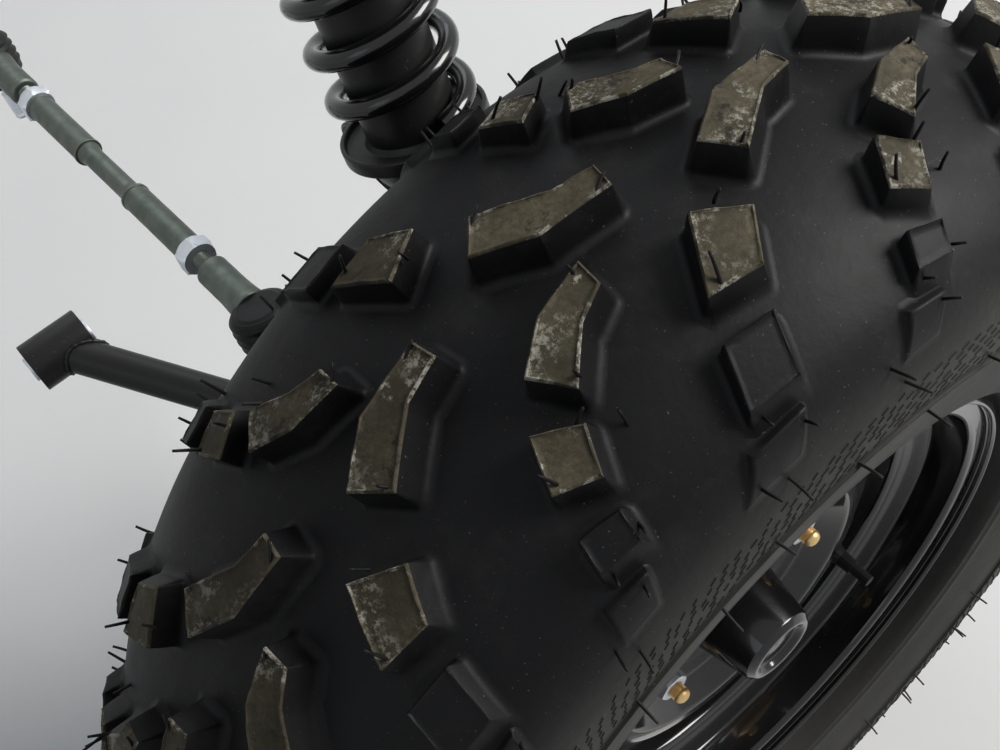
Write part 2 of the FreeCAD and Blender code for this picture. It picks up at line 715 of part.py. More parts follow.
def make_strut():
    """Strut tube with its spring seat, the damper rod, the spring and the top mount."""
    tube_top = TUBE_AT + TUBE_LONG
    tube = bar(up_strut(TUBE_AT), up_strut(tube_top), TUBE_R, BIG_SIDES)
    seat = lathe(up_strut(0.0), strut_way(), [
        (SEAT_AT - 3.0 * SEAT_LIP, TUBE_R - 1.0), (SEAT_AT - 3.0 * SEAT_LIP, TUBE_R + 1.0),
        (SEAT_AT - SEAT_LIP, SEAT_R - SEAT_T), (SEAT_AT - SEAT_LIP, SEAT_R), (SEAT_AT, SEAT_R),
        (SEAT_AT, TUBE_R - 1.0)], BIG_SIDES)
    tube = tube.fuse(seat)
    tube = tube.cut(bar(up_strut(tube_top - GLAND_LONG), up_strut(tube_top + 1.0), ROD_R + RUN_GAP))
    save("strut_tube", tube)
    rod_start = tube_top - GLAND_LONG + 2.0
    upper = SEAT_AT + SPRING_LONG
    mount = rod_top() - TOP_PLATE_T
    rod_end = rod_top()
    stem = rod_end + PIN_RELIEF
    rod = lathe(up_strut(0.0), strut_way(), [(rod_start, 0.0), (rod_start, ROD_R), (rod_end, ROD_R),
                                             (rod_end, TOP_STEM_R - 1.0), (stem + 1.0, TOP_STEM_R - 1.0),
                                             (stem + 1.0, 0.0)], SIDES)
    save("strut_rod", rod.fuse(shaft(up_strut(stem), up_strut(stem + TOP_STEM_LONG), TOP_STEM_R)))
    seat = ring(upper, upper + SEAT_T, SEAT_R, clear_of(ROD_R + RUN_GAP, SIDES))
    lip = pipe(up_strut(upper - SEAT_T), up_strut(upper + 1.0), SEAT_R, SEAT_R - SEAT_T + 2.0)
    save("strut_top_seat", seat.fuse(lip))
    save("strut_top_rubber", ring(mount - TOP_RUBBER_TALL, mount, TOP_RUBBER_R, ROD_R))
    save("strut_top_plate", ring(mount, rod_end, TOP_PLATE_R, ROD_R))
    save("strut_spring", make_spring(SEAT_AT + RUN_GAP, upper - FIT_GAP))


def make_spring(start, end):
    """Coil spring of flat-sided wire between two heights on the strut."""
    way = strut_way()
    out = strut_out()
    side = way.cross(out).normalize()
    low = start + SPRING_WIRE_R
    high = end - SPRING_WIRE_R
    count = SPRING_TURNS * TURN_STEPS
    rings = []
    for k in range(count + 1):
        angle = 2.0 * math.pi * k / TURN_STEPS
        radial = out * math.cos(angle) + side * math.sin(angle)
        centre = up_strut(low + (high - low) * k / count) + radial * SPRING_R
        corners = []
        for j in range(WIRE_SIDES):
            a = 2.0 * math.pi * j / WIRE_SIDES
            corners.append(centre + (radial * math.cos(a) + way * math.sin(a)) * SPRING_WIRE_R)
        rings.append(corners)
    loops = [rings[0], rings[-1]]
    for here, there in zip(rings, rings[1:]):
        for j in range(WIRE_SIDES):
            n = (j + 1) % WIRE_SIDES
            loops += [[here[j], here[n], there[n]], [here[j], there[n], there[j]]]
    return closed(loops)


def arm_eyes():
    """Centres of the lower arm's front and rear bushes."""
    return (BACK * -LOW_SPREAD, BACK * LOW_SPREAD)


def arm_lines():
    """Centre lines of the lower arm's tubes, from the yoke to the bushes."""
    centre = at_wheel(*LOW_BALL)
    inward = Vector(0.0, -centre.y, -centre.z).normalize()
    lines = []
    for side, eye in zip((-1.0, 1.0), arm_eyes()):
        root = centre + inward * (YOKE_LONG - YOKE_GRIP) + BACK * (side * (SOCKET_R - 2.0))
        lines.append((root, eye))
    return centre, inward, lines


def make_lower_arm():
    """Lower A-arm: yoke with the ball socket, two tubes, a cross tube and the pivot bushes."""
    centre, inward, lines = arm_lines()
    way = strut_way()
    flat = BACK.cross(inward).normalize()
    half = flat * (YOKE_T / 2.0)
    edges = []
    for side, (root, eye) in zip((-1.0, 1.0), lines):
        run = (eye - root).normalize()
        at_end = root + run * (YOKE_GRIP / run.dot(inward))
        edges.append((at_end - centre).dot(BACK) + side * (LOW_TUBE_R + 2.0))
    rows = ((YOKE_START, -SOCKET_R + 2.0), (YOKE_START, SOCKET_R - 2.0),
            (YOKE_LONG, edges[1]), (YOKE_LONG, edges[0]))
    yoke = plate([centre + inward * u + BACK * v - half for u, v in rows], half * 2.0)
    top = centre + way * (SOCKET_TALL / 2.0)
    yoke = yoke.cut(bar(centre - way * SOCKET_TALL, centre + way * SOCKET_TALL, SOCKET_R - 1.0))
    yoke = yoke.cut(bar(top, top + way * SOCKET_TALL, SOCKET_R + 2.0))
    yoke = yoke.fuse(make_socket(centre, way, SOCKET_R, SOCKET_TALL, BALL_R))
    eye_half = BACK * (BUSH_LONG / 2.0)
    solids = [bar(root, eye, LOW_TUBE_R) for root, eye in lines]
    hollows = [bar(root, eye, LOW_TUBE_R - TUBE_WALL) for root, eye in lines]
    mid = centre + inward * CROSS_AT
    ends = []
    for root, eye in lines:
        share = (mid - root).dot(inward) / (eye - root).dot(inward)
        ends.append(root + (eye - root) * share)
    cross = pipe(ends[0], ends[1], CROSS_R, CROSS_R - TUBE_WALL)
    for tube in solids:
        cross = cross.cut(tube)
    save("lower_arm_cross_tube", max(cross.Solids, key=lambda piece: piece.Volume))
    for tube in solids:
        yoke = yoke.cut(tube)
    save("lower_arm_yoke", max(yoke.Solids, key=lambda piece: piece.Volume))
    for name, tube, hollow, (root, eye) in zip(("front", "rear"), solids, hollows, lines):
        leg = tube.cut(hollow).cut(bar(eye - eye_half, eye + eye_half, BUSH_R - 1.0))
        leg = max(leg.Solids, key=lambda piece: piece.Volume)
        case = pipe(eye - eye_half, eye + eye_half, BUSH_R, BUSH_R - BUSH_WALL)
        save("lower_arm_%s_tube" % name, leg.fuse(case))
    bush_r = BUSH_R - BUSH_WALL - FIT_GAP
    longer = BACK * (BUSH_LONG / 2.0 + SLEEVE_EXTRA)
    bushes = []
    sleeves = []
    for eye in arm_eyes():
        bushes.append(pipe(eye - eye_half, eye + eye_half, bush_r, SLEEVE_R + FIT_GAP))
        sleeve = bar(eye - longer, eye + longer, SLEEVE_R)
        sleeves.append(sleeve.cut(shaft(eye - longer * 2.0, eye + longer * 2.0, PIVOT_BORE_R)))
    save("lower_arm_bushes", *bushes)
    save("lower_arm_sleeves", *sleeves)


def rod_balls():
    """Outer and inner ball of the tie rod."""
    outer = at_wheel(*STEER_BALL)
    turn = math.radians(ROD_TOE)
    return outer, outer + Vector(-math.sin(turn), math.cos(turn), 0.0) * ROD_SPAN


def make_tie_rod():
    """Tie rod: a rod with thicker ends, and a ball joint screwed into each end."""
    outer, inner = rod_balls()
    down = strut_way() * -1.0
    along = (inner - outer).normalize()
    ends = []
    boots = []
    fixings = []
    for centre, inward in ((outer, along), (inner, along * -1.0)):
        half = down * (TIE_SOCKET_TALL / 2.0)
        shank = bar(centre, centre + inward * SHANK_END, SHANK_R)
        shank = shank.cut(bar(centre - half * 2.0, centre + half * 2.0, TIE_SOCKET_R - 1.0))
        thread = bar(centre + inward * (SHANK_END - 4.0), centre + inward * (NUT_AT + TIE_NUT_TALL), THREAD_R,
                     SMALL_SIDES)
        socket = make_socket(centre, down, TIE_SOCKET_R, TIE_SOCKET_TALL, TIE_BALL_R)
        ends.append(socket.fuse(shank).fuse(thread))
        boots.append(make_boot(centre, down, TIE_SOCKET_R - 1.0, TIE_SOCKET_TALL))
        fixings.append(nut(centre + inward * NUT_AT, inward, TIE_NUT_ACROSS, TIE_NUT_TALL, THREAD_R))
    relief = boss_reach(TIE_SOCKET_TALL) + 1.0
    pin = relief + PIN_RELIEF
    groove_r = BALL_STUD_R - 1.0
    neck = lathe(inner, down, [(0.0, 0.0), (0.0, BALL_STUD_R), (relief, BALL_STUD_R), (relief, groove_r),
                               (pin + 1.0, groove_r), (pin + 1.0, 0.0)], SIDES)
    stud = ball(inner, down, TIE_BALL_R).fuse(neck)
    fixings.append(stud.fuse(shaft(inner + down * pin, inner + down * (pin + INNER_PIN_LONG), BALL_STUD_R)))
    save("tie_rod_ends", *ends)
    save("tie_rod_boots", *boots)
    save("tie_rod_nuts_and_stud", *fixings)
    start = outer + along * (NUT_AT + TIE_NUT_TALL)
    finish = inner - along * (NUT_AT + TIE_NUT_TALL)
    long = (finish - start).Length
    step = COLLAR_LONG + 6.0
    save("tie_rod_tube", lathe(start, along, [
        (0.0, 0.0), (0.0, TIE_COLLAR_R), (COLLAR_LONG, TIE_COLLAR_R), (step, TIE_R), (long - step, TIE_R),
        (long - COLLAR_LONG, TIE_COLLAR_R), (long, TIE_COLLAR_R), (long, 0.0)], SIDES))


def make_ball_joints():
    """Ball studs held by the knuckle and the steering arm, their nuts and the lower boot."""
    way = strut_way()
    low = at_wheel(*LOW_BALL)
    steer = at_wheel(*STEER_BALL)
    rows = ((low, way, BALL_R, boss_reach(SOCKET_TALL) + BOSS_TALL),
            (steer, way * -1.0, TIE_BALL_R, boss_reach(TIE_SOCKET_TALL) + STEER_EYE_TALL))
    studs = []
    nuts = []
    for centre, up, ball_r, seat in rows:
        studs.append(make_ball_stud(centre, up, ball_r, seat + BALL_NUT_TALL + STUD_PAST_NUT))
        nuts.append(nut(centre + up * seat, up, BALL_NUT_ACROSS, BALL_NUT_TALL, BALL_STUD_R))
    save("ball_studs", *studs)
    save("ball_stud_nuts", *nuts)
    save("lower_ball_boot", make_boot(low, way, SOCKET_R - 1.0, SOCKET_TALL))


def main():
    os.makedirs("parts", exist_ok=True)
    save("tyre", make_tyre())
    save("rim", make_rim())
    save("hub", make_hub())
    save("bearings", make_bearing(HUB_OUTER_Y + 1.0), make_bearing(HUB_INNER_Y - BEARING_WIDE - 1.0))
    save("brake_disc", make_brake_disc())
    save("hub_cap", make_cap())
    make_wheel_fixings()
    save("valve_stem", make_valve())
    caliper, bracket = make_caliper()
    save("caliper", caliper)
    make_pads()
    save("knuckle", make_knuckle(bracket))
    make_pinch_bolts()
    seat = at_wheel(0.0, HUB_OUTER_Y, 0.0)
    save("spindle_nut", nut(seat, OUTWARD, SPINDLE_NUT_ACROSS, SPINDLE_NUT_TALL, SPINDLE_TIP_R))
    save("steering_arm", make_steering_arm())
    make_strut()
    make_lower_arm()
    make_tie_rod()
    make_ball_joints()


main()
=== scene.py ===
"""Looks for the front wheel corner of a quad bike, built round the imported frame.

Lengths are in millimetres from the wheel centre and become metres when a mesh is made.
Lamps, noise, bumps and the floor's reach are in metres.
"""
import bmesh
import bpy
import math
import random
import numpy as np
from mathutils import Matrix, Vector

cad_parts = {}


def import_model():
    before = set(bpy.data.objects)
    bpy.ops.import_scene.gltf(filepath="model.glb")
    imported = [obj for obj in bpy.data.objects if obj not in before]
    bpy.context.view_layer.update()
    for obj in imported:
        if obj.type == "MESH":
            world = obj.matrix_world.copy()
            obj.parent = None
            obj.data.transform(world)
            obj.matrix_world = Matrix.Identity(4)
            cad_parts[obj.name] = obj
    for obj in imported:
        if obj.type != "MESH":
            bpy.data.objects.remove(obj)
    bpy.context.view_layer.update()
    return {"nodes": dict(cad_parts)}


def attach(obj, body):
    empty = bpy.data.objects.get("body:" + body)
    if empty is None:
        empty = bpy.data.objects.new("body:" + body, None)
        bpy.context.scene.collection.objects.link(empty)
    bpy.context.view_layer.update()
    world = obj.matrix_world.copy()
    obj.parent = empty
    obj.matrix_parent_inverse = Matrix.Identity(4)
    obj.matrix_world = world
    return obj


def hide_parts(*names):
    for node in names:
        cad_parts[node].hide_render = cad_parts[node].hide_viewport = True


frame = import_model()
SCENE = bpy.context.scene
SCENE.view_settings.view_transform = "Standard"
RNG = random.Random(7)
MM = 0.001
ROUND = 2.0 * math.pi

WHEEL = np.array((48.5, -400.0, 3.5))
TYRE_R = 321.0
PITCHES = 12
PITCH = 360.0 / PITCHES
TREAD_MIDDLE = -4.0
SIDE_HALF = 105.0
CROWN_DROP = 43.3
EDGE_DROP = 2.8
BACKDROP = (0.62, 0.63, 0.64, 1.0)


# Node helpers

def feed(tree, node, inputs):
    """Gives each input of a node its plain value, or a link where the value is a socket."""
    for name, value in inputs.items():
        socket = node.inputs[name]
        if isinstance(value, bpy.types.NodeSocket):
            tree.links.new(value, socket)
        elif socket.type == "RGBA":
            socket.default_value = (value[0], value[1], value[2], 1.0)
        else:
            socket.default_value = value


def add_node(tree, kind, inputs=None, **settings):
    """A node with its settings and inputs."""
    node = tree.nodes.new("ShaderNode" + kind)
    for name, value in settings.items():
        setattr(node, name, value)
    feed(tree, node, inputs or {})
    return node


def maths(tree, operation, first, second):
    """Value that a maths node makes of two values."""
    return add_node(tree, "Math", {0: first, 1: second}, operation=operation).outputs["Value"]


def object_place(tree):
    """Place in object space, in metres."""
    return add_node(tree, "TexCoord").outputs["Object"]


def mix_to(tree, output, share, plain, seen):
    """Feeds an output with the mix of two shaders."""
    mix = add_node(tree, "MixShader", {"Fac": share, 1: plain, 2: seen})
    feed(tree, tree.nodes[output], {"Surface": mix.outputs["Shader"]})


def new_material(name):
    """A node material, its node tree and its shader."""
    mat = bpy.data.materials.new(name)
    mat.use_nodes = True
    return mat, mat.node_tree, mat.node_tree.nodes["Principled BSDF"]


def noise(tree, scale, detail, rough, stretch=None):
    """Noise in object space, with scale in cycles per metre."""
    place = object_place(tree)
    if stretch:
        place = add_node(tree, "Mapping", {"Scale": stretch, "Vector": place}).outputs["Vector"]
    inputs = {"Scale": scale, "Detail": detail, "Roughness": rough, "Vector": place}
    return add_node(tree, "TexNoise", inputs).outputs["Fac"]


def ramp(tree, fac, stops):
    """Colour ramp over a value: stops are (place, colour)."""
    node = add_node(tree, "ValToRGB", {"Fac": fac})
    band = node.color_ramp
    while len(band.elements) < len(stops):
        band.elements.new(0.5)
    for element, (place, colour) in zip(band.elements, stops):
        element.position = place
        element.color = (colour[0], colour[1], colour[2], 1.0)
    return node.outputs["Color"]


def shade(tree, fac, *stops):
    """Grey ramp over a value: stops are (place, value)."""
    return ramp(tree, fac, [(place, (value, value, value)) for place, value in stops])


def mixed(tree, fac, low, high):
    """Mix of two colours, each a socket or a colour."""
    return add_node(tree, "Mix", {"Factor": fac, "A": low, "B": high}, data_type="RGBA").outputs["Result"]


def bump(tree, bsdf, height, strength, distance, under=None):
    """Bump from a height value, over another bump if one is given."""
    inputs = {"Strength": strength, "Distance": distance, "Height": height}
    if under:
        inputs["Normal"] = under
    normal = add_node(tree, "Bump", inputs).outputs["Normal"]
    feed(tree, bsdf, {"Normal": normal})
    return normal


def axle_distance(tree):
    """Distance from the wheel's axle, in metres."""
    shift = add_node(tree, "VectorMath", {0: object_place(tree), 1: tuple(WHEEL * MM)}, operation="SUBTRACT")
    inputs = {0: shift.outputs["Vector"], 1: (1.0, 0.0, 1.0)}
    flat = add_node(tree, "VectorMath", inputs, operation="MULTIPLY")
    return add_node(tree, "VectorMath", {0: flat.outputs["Vector"]}, operation="LENGTH").outputs["Value"]


def spread(tree, value, low, high):
    """A value scaled so that low becomes 0 and high becomes 1, and kept between them."""
    return add_node(tree, "MapRange", {"From Min": low, "From Max": high, "Value": value}).outputs["Result"]


# Camera, light and floor

CAMERA_PLACE = np.array((-196.26, -226.39, 615.90))
CAMERA_RIGHT = Vector((0.75387, -0.63961, -0.15025))
CAMERA_DOWN = Vector((-0.59794, -0.57313, -0.56034))
CAMERA_AHEAD = Vector((0.27229, 0.51227, -0.81452))
CAMERA_LENS = 43.416

# Lamps: name, place, what they point at, size, watts and colour
LAMPS = (
    ("window", (5.25, -3.1, 4.1), (0.05, -0.4, 0.05), (3.8, 3.2), 690.0, (1.0, 0.98, 0.95)),
    ("ceiling", (1.7, 3.4, 3.75), (0.8, 1.0, -0.3), (3.9, 3.9), 62.0, (0.92, 0.96, 1.0)),
    ("left", (-3.4, -1.2, 2.4), (0.0, -0.4, 0.0), (2.0, 2.0), 9.0, (0.85, 0.92, 1.0)),
)
# Floor: its gap under the tyre in millimetres, then half its side and where it fades, in metres
FLOOR_GAP = 3.0
FLOOR_HALF = 14.0
FADE_FROM = 1.6
FADE_TO = 5.0


def new_object(name, data):
    """An object in the scene."""
    obj = bpy.data.objects.new(name, data)
    SCENE.collection.objects.link(obj)
    return obj


def camera():
    """Camera at the photograph's viewing angle."""
    data = bpy.data.cameras.new("camera")
    obj = new_object("camera", data)
    turn = Matrix((CAMERA_RIGHT, -CAMERA_DOWN, -CAMERA_AHEAD)).transposed().to_4x4()
    obj.matrix_world = Matrix.Translation(Vector((WHEEL + CAMERA_PLACE) * MM)) @ turn
    data.sensor_width = 36.0
    data.lens = CAMERA_LENS
    data.clip_start = 0.02
    data.shift_y = -0.001
    SCENE.camera = obj


def light(name, place, target, size, watts, colour):
    """Soft area light."""
    data = bpy.data.lights.new(name, "AREA")
    data.shape = "RECTANGLE"
    data.size = size[0]
    data.size_y = size[1]
    data.energy = watts
    data.color = colour
    obj = new_object(name, data)
    obj.location = place
    obj.rotation_euler = (Vector(target) - Vector(place)).to_track_quat("-Z", "Y").to_euler()


def backdrop_rays(tree):
    """1 for rays from the camera, off gloss and through glass, else 0."""
    rays = add_node(tree, "LightPath").outputs
    gloss = maths(tree, "MAXIMUM", rays["Is Glossy Ray"], rays["Is Transmission Ray"])
    return maths(tree, "MAXIMUM", rays["Is Camera Ray"], gloss)


def world():
    """Soft even light from everywhere, and a pale background for the camera, for metal and for glass."""
    made = bpy.data.worlds.new("world")
    made.use_nodes = True
    tree = made.node_tree
    back = tree.nodes["Background"]
    feed(tree, back, {"Color": (0.75, 0.85, 1.0), "Strength": 0.06})
    seen = add_node(tree, "Background", {"Color": BACKDROP})
    mix_to(tree, "World Output", backdrop_rays(tree), back.outputs["Background"], seen.outputs["Background"])
    SCENE.world = made


def floor():
    """Pale floor under the tyre, with soft mottling, fading into the backdrop further out."""
    z = (WHEEL[2] - TYRE_R - FLOOR_GAP) * MM
    corners = [(x * FLOOR_HALF, y * FLOOR_HALF, z) for x, y in ((-1, -1), (1, -1), (1, 1), (-1, 1))]
    mesh = bpy.data.meshes.new("floor")
    mesh.from_pydata(corners, [], [(0, 1, 2, 3)])
    obj = new_object("floor", mesh)
    mat, tree, bsdf = new_material("floor_vinyl")
    cloud = noise(tree, 3.0, 5.0, 0.6)
    feed(tree, bsdf, {"Base Color": mixed(tree, cloud, (0.74, 0.75, 0.76), (0.82, 0.82, 0.82)),
                      "Roughness": shade(tree, cloud, (0.3, 0.62), (0.7, 0.76)),
                      "Specular IOR Level": 0.15})
    far = add_node(tree, "VectorMath", {0: object_place(tree)}, operation="LENGTH").outputs["Value"]
    share = maths(tree, "MULTIPLY", spread(tree, far, FADE_FROM, FADE_TO), backdrop_rays(tree))
    glow = add_node(tree, "Emission", {"Color": BACKDROP})
    mix_to(tree, "Material Output", share, bsdf.outputs["BSDF"], glow.outputs["Emission"])
    mesh.materials.append(mat)


# Materials

def rubber(name, colour, rough, dust=0.0, sidewall=None):
    """Moulded rubber with a faint mottle, dust and fine pores, and another tone towards the bead."""
    mat, tree, bsdf = new_material(name)
    broad = noise(tree, 14.0, 6.0, 0.6)
    base = mixed(tree, broad, tuple(c * 0.75 for c in colour), colour)
    if sidewall:
        base = mixed(tree, spread(tree, axle_distance(tree), 0.278, 0.235), base, sidewall)
    if dust > 0.0:
        film = shade(tree, noise(tree, 36.0, 8.0, 0.7), (0.52, 0.0), (0.8, dust))
        base = mixed(tree, film, base, (0.040, 0.039, 0.036))
        specks = shade(tree, noise(tree, 800.0, 2.0, 0.5), (0.71, 0.0), (0.76, dust))
        base = mixed(tree, specks, base, (0.22, 0.21, 0.19))
        streak = noise(tree, 30.0, 6.0, 0.7, (1.0, 9.0, 1.0))
        scratch = shade(tree, streak, (0.70, 0.0), (0.72, dust * 0.8), (0.74, 0.0))
        base = mixed(tree, scratch, base, (0.16, 0.15, 0.135))
    feed(tree, bsdf, {"Base Color": base, "Specular IOR Level": 0.15,
                      "Roughness": shade(tree, broad, (0.3, rough - 0.06), (0.7, rough + 0.08))})
    pores = bump(tree, bsdf, noise(tree, 260.0, 4.0, 0.6), 0.25, 0.0004)
    bump(tree, bsdf, noise(tree, 60.0, 5.0, 0.6), 0.3, 0.0008, pores)
    return mat


def lug_top(name, worn):
    """Top of a lug: tan dust over scuffed rubber, pale torn skin above the worn value, and dark pits."""
    mat, tree, bsdf = new_material(name)
    fine = noise(tree, 420.0, 6.0, 0.7)
    base = ramp(tree, noise(tree, 45.0, 8.0, 0.65),
                [(0.30, (0.028, 0.024, 0.015)), (0.5, (0.074, 0.064, 0.040)), (0.70, (0.135, 0.117, 0.076))])
    base = mixed(tree, shade(tree, fine, (0.35, 0.0), (0.65, 0.75)), base, (0.034, 0.029, 0.019))
    torn = shade(tree, noise(tree, 70.0, 10.0, 0.75), (worn, 0.0), (worn + 0.05, 1.0))
    base = mixed(tree, torn, base, mixed(tree, fine, (0.14, 0.133, 0.105), (0.46, 0.44, 0.37)))
    scuffed = shade(tree, noise(tree, 27.0, 3.0, 0.5), (0.50, 0.0), (0.58, 0.9))
    grains = shade(tree, noise(tree, 330.0, 8.0, 0.8), (0.50, 0.0), (0.57, 1.0))
    base = mixed(tree, mixed(tree, scuffed, (0.0, 0.0, 0.0), grains), base, (0.33, 0.315, 0.26))
    pits = shade(tree, noise(tree, 52.0, 9.0, 0.72), (0.575, 0.0), (0.615, 0.85))
    base = mixed(tree, pits, base, (0.012, 0.011, 0.009))
    feed(tree, bsdf, {"Base Color": base, "Roughness": 0.75, "Specular IOR Level": 0.2})
    first = bump(tree, bsdf, fine, 0.5, 0.0006)
    second = bump(tree, bsdf, torn, 0.6, 0.0005, first)
    bump(tree, bsdf, pits, -0.7, 0.0006, second)
    return mat


def paint(name, colour, rough, coat=0.0, peel=0.15):
    """Painted metal: slight orange peel, dust specks and a little uneven gloss."""
    mat, tree, bsdf = new_material(name)
    broad = noise(tree, 20.0, 5.0, 0.55)
    base = mixed(tree, broad, tuple(c * 0.8 for c in colour), tuple(c * 1.25 for c in colour))
    specks = shade(tree, noise(tree, 700.0, 2.0, 0.5), (0.72, 0.0), (0.77, 0.35))
    feed(tree, bsdf, {"Base Color": mixed(tree, specks, base, (0.25, 0.24, 0.22)),
                      "Roughness": shade(tree, broad, (0.3, rough), (0.75, rough + 0.1)),
                      "Specular IOR Level": 0.25, "Coat Weight": coat, "Coat Roughness": 0.05})
    bump(tree, bsdf, noise(tree, 320.0, 2.0, 0.5), peel, 0.0002)
    return mat


def plated(name, colour, rough, stained=(0.5, 0.5, 0.5)):
    """Plated or machined steel with a brushed grain, darker by the stained factors in its stains."""
    mat, tree, bsdf = new_material(name)
    stain = noise(tree, 90.0, 7.0, 0.65)
    dull = tuple(c * s for c, s in zip(colour, stained))
    feed(tree, bsdf, {"Base Color": mixed(tree, shade(tree, stain, (0.4, 0.0), (0.75, 0.7)), colour, dull),
                      "Metallic": 1.0, "Roughness": shade(tree, stain, (0.3, rough), (0.7, rough + 0.2))})
    bump(tree, bsdf, noise(tree, 500.0, 3.0, 0.6, (1.0, 6.0, 1.0)), 0.2, 0.0002)
    return mat


# Mesh helpers

# Points nearer than this are one, in metres
MERGE = 0.000004


def add_piece(name, verts, faces, mats, body, stands_for, slot, face_mats=None, smooth=True, sharp=None):
    """A mesh piece from millimetre points measured from the wheel centre."""
    mesh = bpy.data.meshes.new(name)
    points = (np.asarray(verts, dtype=float) + WHEEL) * MM
    mesh.from_pydata([tuple(p) for p in points], [], [tuple(int(i) for i in f) for f in faces])
    for mat in mats:
        mesh.materials.append(mat)
    if face_mats is not None:
        mesh.polygons.foreach_set("material_index", [int(m) for m in face_mats])
    mesh.polygons.foreach_set("use_smooth", [smooth] * len(mesh.polygons))
    solid = bmesh.new()
    solid.from_mesh(mesh)
    bmesh.ops.remove_doubles(solid, verts=solid.verts, dist=MERGE)
    solid.to_mesh(mesh)
    solid.free()
    mesh.validate()
    mesh.update()
    if smooth and sharp:
        mesh.set_sharp_from_angle(angle=math.radians(sharp))
    obj = new_object(name, mesh)
    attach(obj, body)
    if stands_for:
        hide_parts(*stands_for)


def turn_point(turn, y, r):
    """Point from its angle about the axle, in degrees from the front upward."""
    a = math.radians(turn)
    return (-r * math.cos(a), y, r * math.sin(a))


def unit(way):
    """A direction at unit length."""
    return np.array(way, dtype=float) / np.linalg.norm(way)


def circle(centre, side, other, radius, count):
    """Points of a circle, from its two directions."""
    turns = [ROUND * k / count for k in range(count)]
    return [tuple(centre + (side * math.cos(a) + other * math.sin(a)) * radius) for a in turns]


def ring_quads(start, rings, around, faces, closed=True, flip=False):
    """Adds the quads between rings of points, and from the last ring to the first if closed."""
    for ring in range(rings if closed else rings - 1):
        a = start + ring * around
        b = start + (ring + 1) % rings * around
        for i in range(around):
            j = (i + 1) % around
            faces.append((a + i, b + i, b + j, a + j) if flip else (a + i, a + j, b + j, b + i))


def spun(outline, sides):
    """Points and quads of a closed (y, radius) outline turned about the axle."""
    verts = [turn_point(360.0 * k / sides, y, r) for k in range(sides) for y, r in outline]
    faces = []
    ring_quads(0, sides, len(outline), faces, flip=True)
    return verts, faces


def corner_curve(before, here, after, radius, steps):
    """Points that round one corner as far as its two sides allow."""
    a = before - here
    b = after - here
    la = np.linalg.norm(a)
    lb = np.linalg.norm(b)
    if la < 1e-6 or lb < 1e-6:
        return []
    a = a / la
    b = b / lb
    half = math.acos(max(-1.0, min(1.0, float(a @ b)))) / 2.0
    cut = 0.0
    if half < math.radians(88.0):
        cut = min(radius / math.tan(half), 0.45 * la, 0.45 * lb)
    if cut <= 1e-6:
        return [(float(here[0]), float(here[1]))]
    curve = []
    for k in range(steps + 1):
        t = k / steps
        q = (1 - t) ** 2 * (here + a * cut) + 2 * t * (1 - t) * here + t ** 2 * (here + b * cut)
        curve.append((float(q[0]), float(q[1])))
    return curve


def rounded(outline, radius, steps):
    """A closed outline with its corners rounded."""
    points = [np.array(point, dtype=float) for point in outline]
    result = []
    for i, here in enumerate(points):
        result += corner_curve(points[i - 1], here, points[(i + 1) % len(points)], radius, steps)
    return result


def through(points, step):
    """Smooth line through (y, radius) points, with an even step."""
    p = np.array(points, dtype=float)
    p = np.vstack([2 * p[0] - p[1], p, 2 * p[-1] - p[-2]])
    line = []
    for i in range(1, len(p) - 2):
        count = max(2, int(math.ceil(np.linalg.norm(p[i + 1] - p[i]) / step)))
        for k in range(count):
            t = k / count
            q = 0.5 * (2 * p[i] + (p[i + 1] - p[i - 1]) * t
                       + (2 * p[i - 1] - 5 * p[i] + 4 * p[i + 1] - p[i + 2]) * t ** 2
                       + (3 * p[i] - p[i - 1] - 3 * p[i + 1] + p[i + 2]) * t ** 3)
            line.append((float(q[0]), float(q[1])))
    line.append((float(p[-2][0]), float(p[-2][1])))
    return line


def axes(way):
    """A direction at unit length, and two directions square to it and to each other."""
    way = unit(way)
    side = unit(np.cross(way, (0.0, 0.0, 1.0) if abs(way[2]) < 0.9 else (1.0, 0.0, 0.0)))
    return way, side, np.cross(way, side)


def lathed(base, way, outline, sides, verts, faces, soften=0.0):
    """Adds a closed (height, radius) outline turned about a line."""
    way, side, other = axes(way)
    if soften:
        outline = rounded(outline, soften, 3)
    ring_quads(len(verts), sides, len(outline), faces)
    for k in range(sides):
        angle = ROUND * k / sides
        radial = side * math.cos(angle) + other * math.sin(angle)
        verts += [tuple(base + way * h + radial * max(r, 0.01)) for h, r in outline]


HEX_SIDES = 48


def hex_rings(base, frame_axes, flat, rows, verts):
    """Adds rings of a hexagon: rows are heights, and the radii that its corners are cut to."""
    way, side, other = frame_axes
    sixth = math.pi / 3.0
    for h, limit in rows:
        for k in range(HEX_SIDES):
            a = ROUND * k / HEX_SIDES
            r = min(limit, flat / math.cos((a + sixth / 2.0) % sixth - sixth / 2.0))
            verts.append(tuple(base + way * h + (side * math.cos(a) + other * math.sin(a)) * r))


def hexed(base, way, bore, verts, faces):
    """Adds a hexagon nut of 19 mm with chamfered corners, open at its bore."""
    flat, tall = 9.5, 9.0
    corner = flat / math.cos(math.pi / 6.0)
    rows = ((0.0, bore), (0.0, flat * 0.98), (tall * 0.16, corner), (tall * 0.84, corner),
            (tall, flat * 0.98), (tall, bore + 0.6), (tall - 0.6, bore))
    ring_quads(len(verts), len(rows), HEX_SIDES, faces)
    hex_rings(base, axes(way), flat, rows, verts)


THREAD_PITCH = 1.25
THREAD_DEEP = 0.55


def thread_rows(low, high, radius):
    """Outline points of a thread between two heights."""
    rows = []
    h = low
    while h + THREAD_PITCH < high:
        rows += [(h, radius), (h + THREAD_PITCH / 2.0, radius - THREAD_DEEP)]
        h += THREAD_PITCH
    return rows + [(high, radius)]


# Tyre

